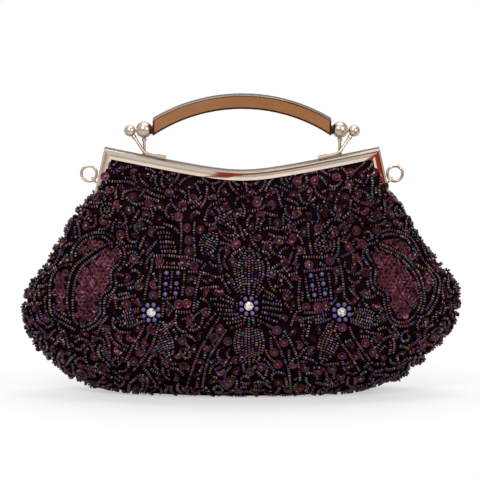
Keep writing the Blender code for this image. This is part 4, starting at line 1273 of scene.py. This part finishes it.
def on_bare_arm(point):
    """Whether a place lies over an arm's face, higher than the cloth wraps it."""
    inner_edge = CORNER_X + ARM_LEAN * (bar_z(CORNER_X) - point[2]) - ARM_FACE
    return point[2] > BARE_ARM_FROM and abs(point[0]) > inner_edge


def curve_through(points, step):
    """Points about a step apart on a smooth curve through the given ones."""
    points = np.array(points, float)
    ends = np.concatenate([[2 * points[0] - points[1]], points, [2 * points[-1] - points[-2]]])
    pieces = []
    for a, b, c, d in zip(ends[:-3], ends[1:-2], ends[2:-1], ends[3:]):
        count = max(int(np.linalg.norm(c - b) / step), 1)
        t = (np.arange(count) / count)[:, None]
        pieces.append(
            0.5 * (2 * b + (c - a) * t + (2 * a - 5 * b + 4 * c - d) * t**2)
            + 0.5 * (3 * b - a - 3 * c + d) * t**3
        )
    return np.concatenate(pieces + [points[-1:]])


def running_length(line):
    return np.concatenate([[0], np.cumsum(np.linalg.norm(np.diff(line, axis=0), axis=1))])


def rows_at(places, lengths, rows):
    """Rows between the given ones, which stand at lengths."""
    return np.stack([np.interp(places, lengths, column) for column in rows.T], 1)


class Beadwork:
    """The beads and sequins of one side of the bag."""

    def __init__(self, side, seed):
        self.side = side
        self.rng = np.random.default_rng(seed)
        self.near = Near(BEAD_CELL)
        self.near_sequins = Near(SEQUIN_CELL)
        self.beads = []
        self.sequins = []

    def string(self, pixels):
        """A string of beads along pixels of the photograph."""
        s, z = from_photo(curve_through(pixels, CURVE_STEP_PX)).T
        points, _, _, normals = cloth_slopes(self.side, s, z)
        lengths = running_length(points)
        count = max(int(lengths[-1] / SEED_PITCH), 1)
        places = (np.arange(count) + 0.5) * lengths[-1] / count
        centres, normals = (rows_at(places, lengths, rows) for rows in (points, normals))
        forward = np.gradient(centres, axis=0) if count > 1 else np.array([[1.0, 0, 0]])
        self.lay(centres, forward, normals, PATTERN_CLEAR)

    def lay(self, centres, forward, normals, clear):
        """Lays those beads that find room, higher where a sequin is below."""
        free = [
            i for i, c in enumerate(centres) if not (self.near.taken(c, clear) or on_bare_arm(c))
        ]
        if not free:
            return
        centres, normals = centres[free], unit(normals[free])
        forward = at_right_angles(forward[free], normals)
        self.near.take(centres)
        over = [self.near_sequins.taken(c, SEQUIN_BELOW) for c in centres]
        lifts = SEED_LIFT + np.where(over, OVER_SEQUIN, 0)[:, None]
        self.beads.append((centres + normals * lifts, forward, normals))

    def ground(self, tries, shortest, longest, clear):
        """Curling strings wherever there is room for them."""
        rng = self.rng
        s = rng.uniform(-0.995, 0.995, tries)
        top = edge_z(s) - CLEAR_OF_EDGE
        z = LOWEST_BEAD + (top - LOWEST_BEAD) * rng.uniform(0, 1, tries)
        angle = rng.uniform(0, math.tau, tries)
        turn = rng.normal(0, TURN, tries)
        change = rng.normal(0, TURN_CHANGE, tries)
        counts = rng.integers(shortest, longest + 1, tries)
        rows = []
        for _ in range(longest):
            points, along, up, normals = cloth_slopes(self.side, s, z)
            first = unit(along)
            second = np.cross(normals, first)
            heading = first * np.cos(angle)[:, None] + second * np.sin(angle)[:, None]
            inside = (np.abs(s) < 0.999) & (z > LOWEST_BEAD) & (z < edge_z(s) - CLEAR_OF_EDGE)
            rows.append((points, heading, normals, inside))
            aa, ab, bb = ((p * q).sum(1) for p, q in ((along, along), (along, up), (up, up)))
            ha, hb = (heading * along).sum(1), (heading * up).sum(1)
            divisor = np.maximum(aa * bb - ab * ab, 1e-12)
            s = np.clip(s + (ha * bb - hb * ab) / divisor * SEED_PITCH, -1, 1)
            z = z + (hb * aa - ha * ab) / divisor * SEED_PITCH
            angle = angle + turn
            turn = turn + change
        points, headings, normals, inside = (np.stack(part, 1) for part in zip(*rows))
        for i in range(tries):
            count = 0
            while (
                count < counts[i]
                and inside[i, count]
                and not self.near.taken(points[i, count], clear)
            ):
                count += 1
            if count >= shortest:
                string = (part[i, :count] for part in (points, headings, normals))
                self.lay(*string, GROUND_CLEAR)

    def sequin(self, s, z, radius, tilt, tints, clear, bead=True):
        """Sequins at (s, z), each tilted about a random direction and held by a bead."""
        rng = self.rng
        points, along, _, normals = cloth_slopes(self.side, s, z)
        for point, direction, normal in zip(points, unit(along), normals):
            if self.near_sequins.taken(point, clear):
                continue
            self.near_sequins.take([point])
            other = np.cross(normal, direction)
            turn = rng.uniform(0, math.tau)
            lean = math.radians(rng.uniform(*tilt))
            sideways = direction * math.cos(turn) + other * math.sin(turn)
            axis = normal * math.cos(lean) + sideways * math.sin(lean)
            across = unit(np.cross(axis, direction))
            shade = rng.uniform(*SEQUIN_SHADES)
            tint = np.array(tints[rng.integers(len(tints))]) * shade
            self.sequins.append((point + normal * SEQUIN_LIFT, axis, across, radius, tint))
            if bead:
                if rng.uniform() < BARE_SEQUINS:
                    for way in (direction * BARE_REACH, other * BARE_REACH):
                        self.near.take([point + way, point - way])
                self.near.take([point])
                centre = point + normal * (SEQUIN_LIFT + OVER_SEQUIN)
                self.beads.append((centre[None], axis[None], across[None]))

    def scatter_sequins(self):
        """Sequins here and there, with room between them."""
        s = self.rng.uniform(-0.98, 0.98, SEQUIN_TRIES)
        top = edge_z(s) - SEQUIN_BELOW_EDGE
        z = SEQUIN_FROM + (top - SEQUIN_FROM) * self.rng.uniform(0, 1, SEQUIN_TRIES)
        points = cloth_point(self.side, s, z)
        free = [i for i, p in enumerate(points) if not self.near.taken(p, BEAD_CLEAR)]
        self.sequin(s[free], z[free], SEQUIN_RADIUS, SCATTERED_TILT, SEQUIN_TINTS, SEQUIN_CLEAR)

    def scales(self, outline):
        """Rows of overlapping sequins that fill an outline in pixels."""
        outline = np.array(outline, float)
        low, high = outline.min(0), outline.max(0)
        places = []
        for row, y in enumerate(np.arange(low[1], high[1], SCALE_PITCH_PX * SCALE_ROW)):
            start = low[0] + SCALE_PITCH_PX / 2 * (row % 2)
            for x in np.arange(start, high[0], SCALE_PITCH_PX):
                if inside_outline(x, y, outline):
                    places.append((x, y))
        places = np.array(places) + self.rng.normal(0, SCALE_SPREAD_PX, (len(places), 2))
        s, z = from_photo(places).T
        self.sequin(s, z, SCALE_RADIUS, SCALE_TILT, SCALE_TINTS, SCALE_CLEAR, bead=False)
        self.near.take(cloth_point(self.side, s, z))

    def pieces(self, label):
        """Builds the meshes, parted into bands from left to right."""
        centres, forward, normals = (np.concatenate(part) for part in zip(*self.beads))
        shares = np.array([share for share, _ in BEAD_TINTS])
        palette = np.array([tint for _, tint in BEAD_TINTS])
        picks = self.rng.choice(len(shares), len(centres), p=shares / shares.sum())
        tints = palette[picks] * self.rng.uniform(*SEED_SHADES, (len(centres), 1))
        scales = self.rng.uniform(*SEED_SIZES, (len(centres), 1)) * SEED_SHAPE
        template = bead_template()
        made = []
        for number, part in enumerate(np.array_split(np.argsort(centres[:, 0]), BANDS), 1):
            rows = (values[part] for values in (centres, forward, normals, scales))
            colours = np.repeat(tints[part], len(template[0]), 0)
            name = "seed_beads_" + label + "_" + str(number)
            made.append(add_piece(name, *stamp(template, *rows), SEEDS, tints=colours))
        template, shares = sequin_template()
        spots, axes, across, radii, tints = (np.array(part) for part in zip(*self.sequins))
        for number, part in enumerate(np.array_split(np.argsort(spots[:, 0]), BANDS // 2), 1):
            sizes = radii[part, None] / SEQUIN_RADIUS
            solid = stamp(template, spots[part], axes[part], across[part], sizes)
            # Each point's share of the tint paints the sequin's highlights and its shade by the
            # hole
            colours = (tints[part][:, None] * shares[:, None]).reshape(-1, 3)
            name = "sequins_" + label + "_" + str(number)
            made.append(add_piece(name, *solid, SEQUINS, tints=colours))
        return made


def inside_outline(x, y, outline):
    """Whether a point lies inside a closed outline."""
    ahead = np.roll(outline, -1, 0)
    crosses = (outline[:, 1] > y) != (ahead[:, 1] > y)
    rise = np.where(ahead[:, 1] == outline[:, 1], 1, ahead[:, 1] - outline[:, 1])
    at = outline[:, 0] + (y - outline[:, 1]) / rise * (ahead[:, 0] - outline[:, 0])
    return np.count_nonzero(crosses & (at > x)) % 2 == 1


def petal_strings(centre, tip, half_width_px, count, spread):
    """Strings that leave a flower like rays and draw together at the petal's tip."""
    centre = np.array(centre)
    axis = np.array(tip) - centre
    reach = np.linalg.norm(axis)
    axis = axis / reach
    across = np.array([-axis[1], axis[0]])
    for place in sorted(np.linspace(-1, 1, count), key=abs):
        angle = math.radians(place * spread)
        start = PETAL_FROM * (axis * math.cos(angle) + across * math.sin(angle))
        between = [
            along * reach * axis + across * place * half_width_px * width
            for along, width in PETAL_STATIONS
        ]
        end = reach * axis * (1 - 0.09 * abs(place)) + across * place * half_width_px * 0.12
        yield [centre + part for part in (start, *between, end)]


def patch_strings(start, end, half_width_px, count):
    """Strings that run side by side in an oval."""
    start, end = np.array(start), np.array(end)
    axis = end - start
    across = np.array([-axis[1], axis[0]]) / np.linalg.norm(axis)
    t = np.linspace(0.0, 1.0, 9)
    swell = np.sin(np.pi * np.clip(0.06 + t * 0.88, 0, 1)) ** 0.75
    for place in np.linspace(-1, 1, count):
        yield start + axis * t[:, None] + across * (place * half_width_px * swell)[:, None]


def ray(centre, angle, near, far):
    angle = math.radians(angle)
    way = np.array([math.cos(angle), -math.sin(angle)])
    return [np.array(centre) + way * r for r in np.linspace(near, far, 4)]


def pattern_strings():
    """The strings of the front's motifs in the order in which they are laid."""
    yield from LEFT_PAISLEY_STRINGS + RIGHT_PAISLEY_STRINGS
    yield from LEFT_PAISLEY_SECOND_STRINGS + RIGHT_PAISLEY_SECOND_STRINGS
    yield from LEFT_STRINGS + RIGHT_STRINGS + FAN_ROWS
    for angle in RAY_ANGLES:
        yield ray(MIDDLE_FLOWER_PX, angle, RAY_FROM, RAY_TO)
    for petal in PETALS:
        yield from petal_strings(*petal)
    for patch in PATCHES:
        yield from patch_strings(*patch)
    for (x, y), radii in ROUNDS:
        for radius in radii:
            angles = np.linspace(0, math.tau, 13)
            yield [(x + radius * math.cos(a), y + radius * math.sin(a)) for a in angles]


def flower_place(name):
    """X and Z of a flower's middle in the CAD."""
    middle = box_middle(name + "_beads")
    return middle[0], middle[2]


def front_pattern(work):
    """The front's motifs, which leave room for the flowers and the round beads."""
    angles = np.arange(24) * math.tau / 24
    for name in FLOWERS:
        x, z = flower_place(name)
        for reach in np.linspace(0, FLOWER_CLEAR, 5):
            across, height = x + np.cos(angles) * reach, z + np.sin(angles) * reach
            ring = cloth_point(-1, s_of(across, height), height)
            work.near.take(ring)
            if reach < FLOWER_CLEAR / 2:
                work.near_sequins.take(ring)
    # Each round bead takes its own place and one a pixel to the right and down
    for x, y in LEFT_PEARL_GRID + RIGHT_PEARL_GRID:
        work.near.take(cloth_point(-1, *from_photo([(x, y), (x + 1, y + 1)]).T))
    for outline in LEFT_PAISLEY_LOBES + RIGHT_PAISLEY_LOBES:
        work.scales(outline)
    s, z = from_photo(PLACED_SEQUINS).T
    work.sequin(s, z, SEQUIN_RADIUS, PLACED_TILT, SEQUIN_TINTS, PLACED_CLEAR)
    for pixels in pattern_strings():
        work.string(pixels)


def edge_loops(work):
    """Little loops of beads that stand out along the seams."""
    rng = work.rng
    angles = np.linspace(0, math.pi, 25)
    for edge in (-1, 1):
        for z in np.sort(rng.uniform(*LOOP_HEIGHTS, LOOPS)):
            s = np.array([edge * rng.uniform(*LOOP_SHARES)])
            slopes = cloth_slopes(work.side, s, np.array([z]))
            point, _, up, normal = (part[0] for part in slopes)
            up = unit(up)
            turn = rng.uniform(0, math.pi)
            way = up * math.cos(turn) + np.cross(normal, up) * math.sin(turn)
            half, height = (rng.uniform(*sizes) * MM for sizes in (LOOP_HALF_WIDTHS, LOOP_RISES))
            arc = np.stack([-np.cos(angles) * half, np.sin(angles) * height], 1)
            lengths = running_length(arc)
            places = np.arange(0.5, lengths[-1] / SEED_PITCH) * SEED_PITCH
            flat = rows_at(places, lengths, arc)
            centres = point + flat[:, :1] * way + flat[:, 1:] * normal
            forward = unit(np.gradient(centres, axis=0))
            tops = at_right_angles(np.cross(way, normal), forward)
            lifted = centres + normal * LOOP_LIFT
            lifted[:, 2] = np.maximum(lifted[:, 2], LOWEST_BEAD)
            work.beads.append((lifted, forward, tops))


def add_set(name, solid, material, smooth=True):
    """Beads or a stone that stay with the bag."""
    piece = add_piece(name, *solid, material, smooth)
    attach(piece, "back_half")
    return piece


def set_flower(name):
    """Eight round beads and a cut stone in a cup, where the CAD's flower is."""
    x, z = flower_place(name)
    point, _, _, normal = (part[0] for part in cloth_slopes(-1, s_of(x, z), np.array([z])))
    side = unit(np.cross([0, 0, 1.0], normal))
    angles = np.arange(FLOWER_BEADS) * math.tau / FLOWER_BEADS + FLOWER_TURN
    ways = np.outer(np.cos(angles), side) + np.outer(np.sin(angles), np.cross(normal, side))
    centres = point + ways * FLOWER_RING + normal * FLOWER_BEAD_LIFT
    normals = np.broadcast_to(normal, ways.shape)
    ring = stamp(pearl_template(), centres, np.cross(normal, ways), normals)
    stone = stamp(crystal_template(), (point + normal * STONE_LIFT)[None], side[None], normal[None])
    beads = add_set(name + "_round_beads", ring, VIOLET)
    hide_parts(name + "_beads")
    cut_stone = add_set(name + "_cut_stone", stone, CRYSTAL, smooth=False)
    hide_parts(name + "_crystal")


for name in FLOWERS:
    set_flower(name)
for label, grid in (("left", LEFT_PEARL_GRID), ("right", RIGHT_PEARL_GRID)):
    points, along, _, normals = cloth_slopes(-1, *from_photo(grid).T)
    solid = stamp(pearl_template(), points + normals * GRID_BEAD_LIFT, unit(along), normals)
    add_set(label + "_grid_round_beads", solid, VIOLET)
for label, side, seed in SIDES:
    work = Beadwork(side, seed)
    if side < 0:
        front_pattern(work)
    work.scatter_sequins()
    for ground_pass in GROUND_PASSES:
        work.ground(*ground_pass)
    edge_loops(work)
    for piece in work.pieces(label):
        move(piece, side)
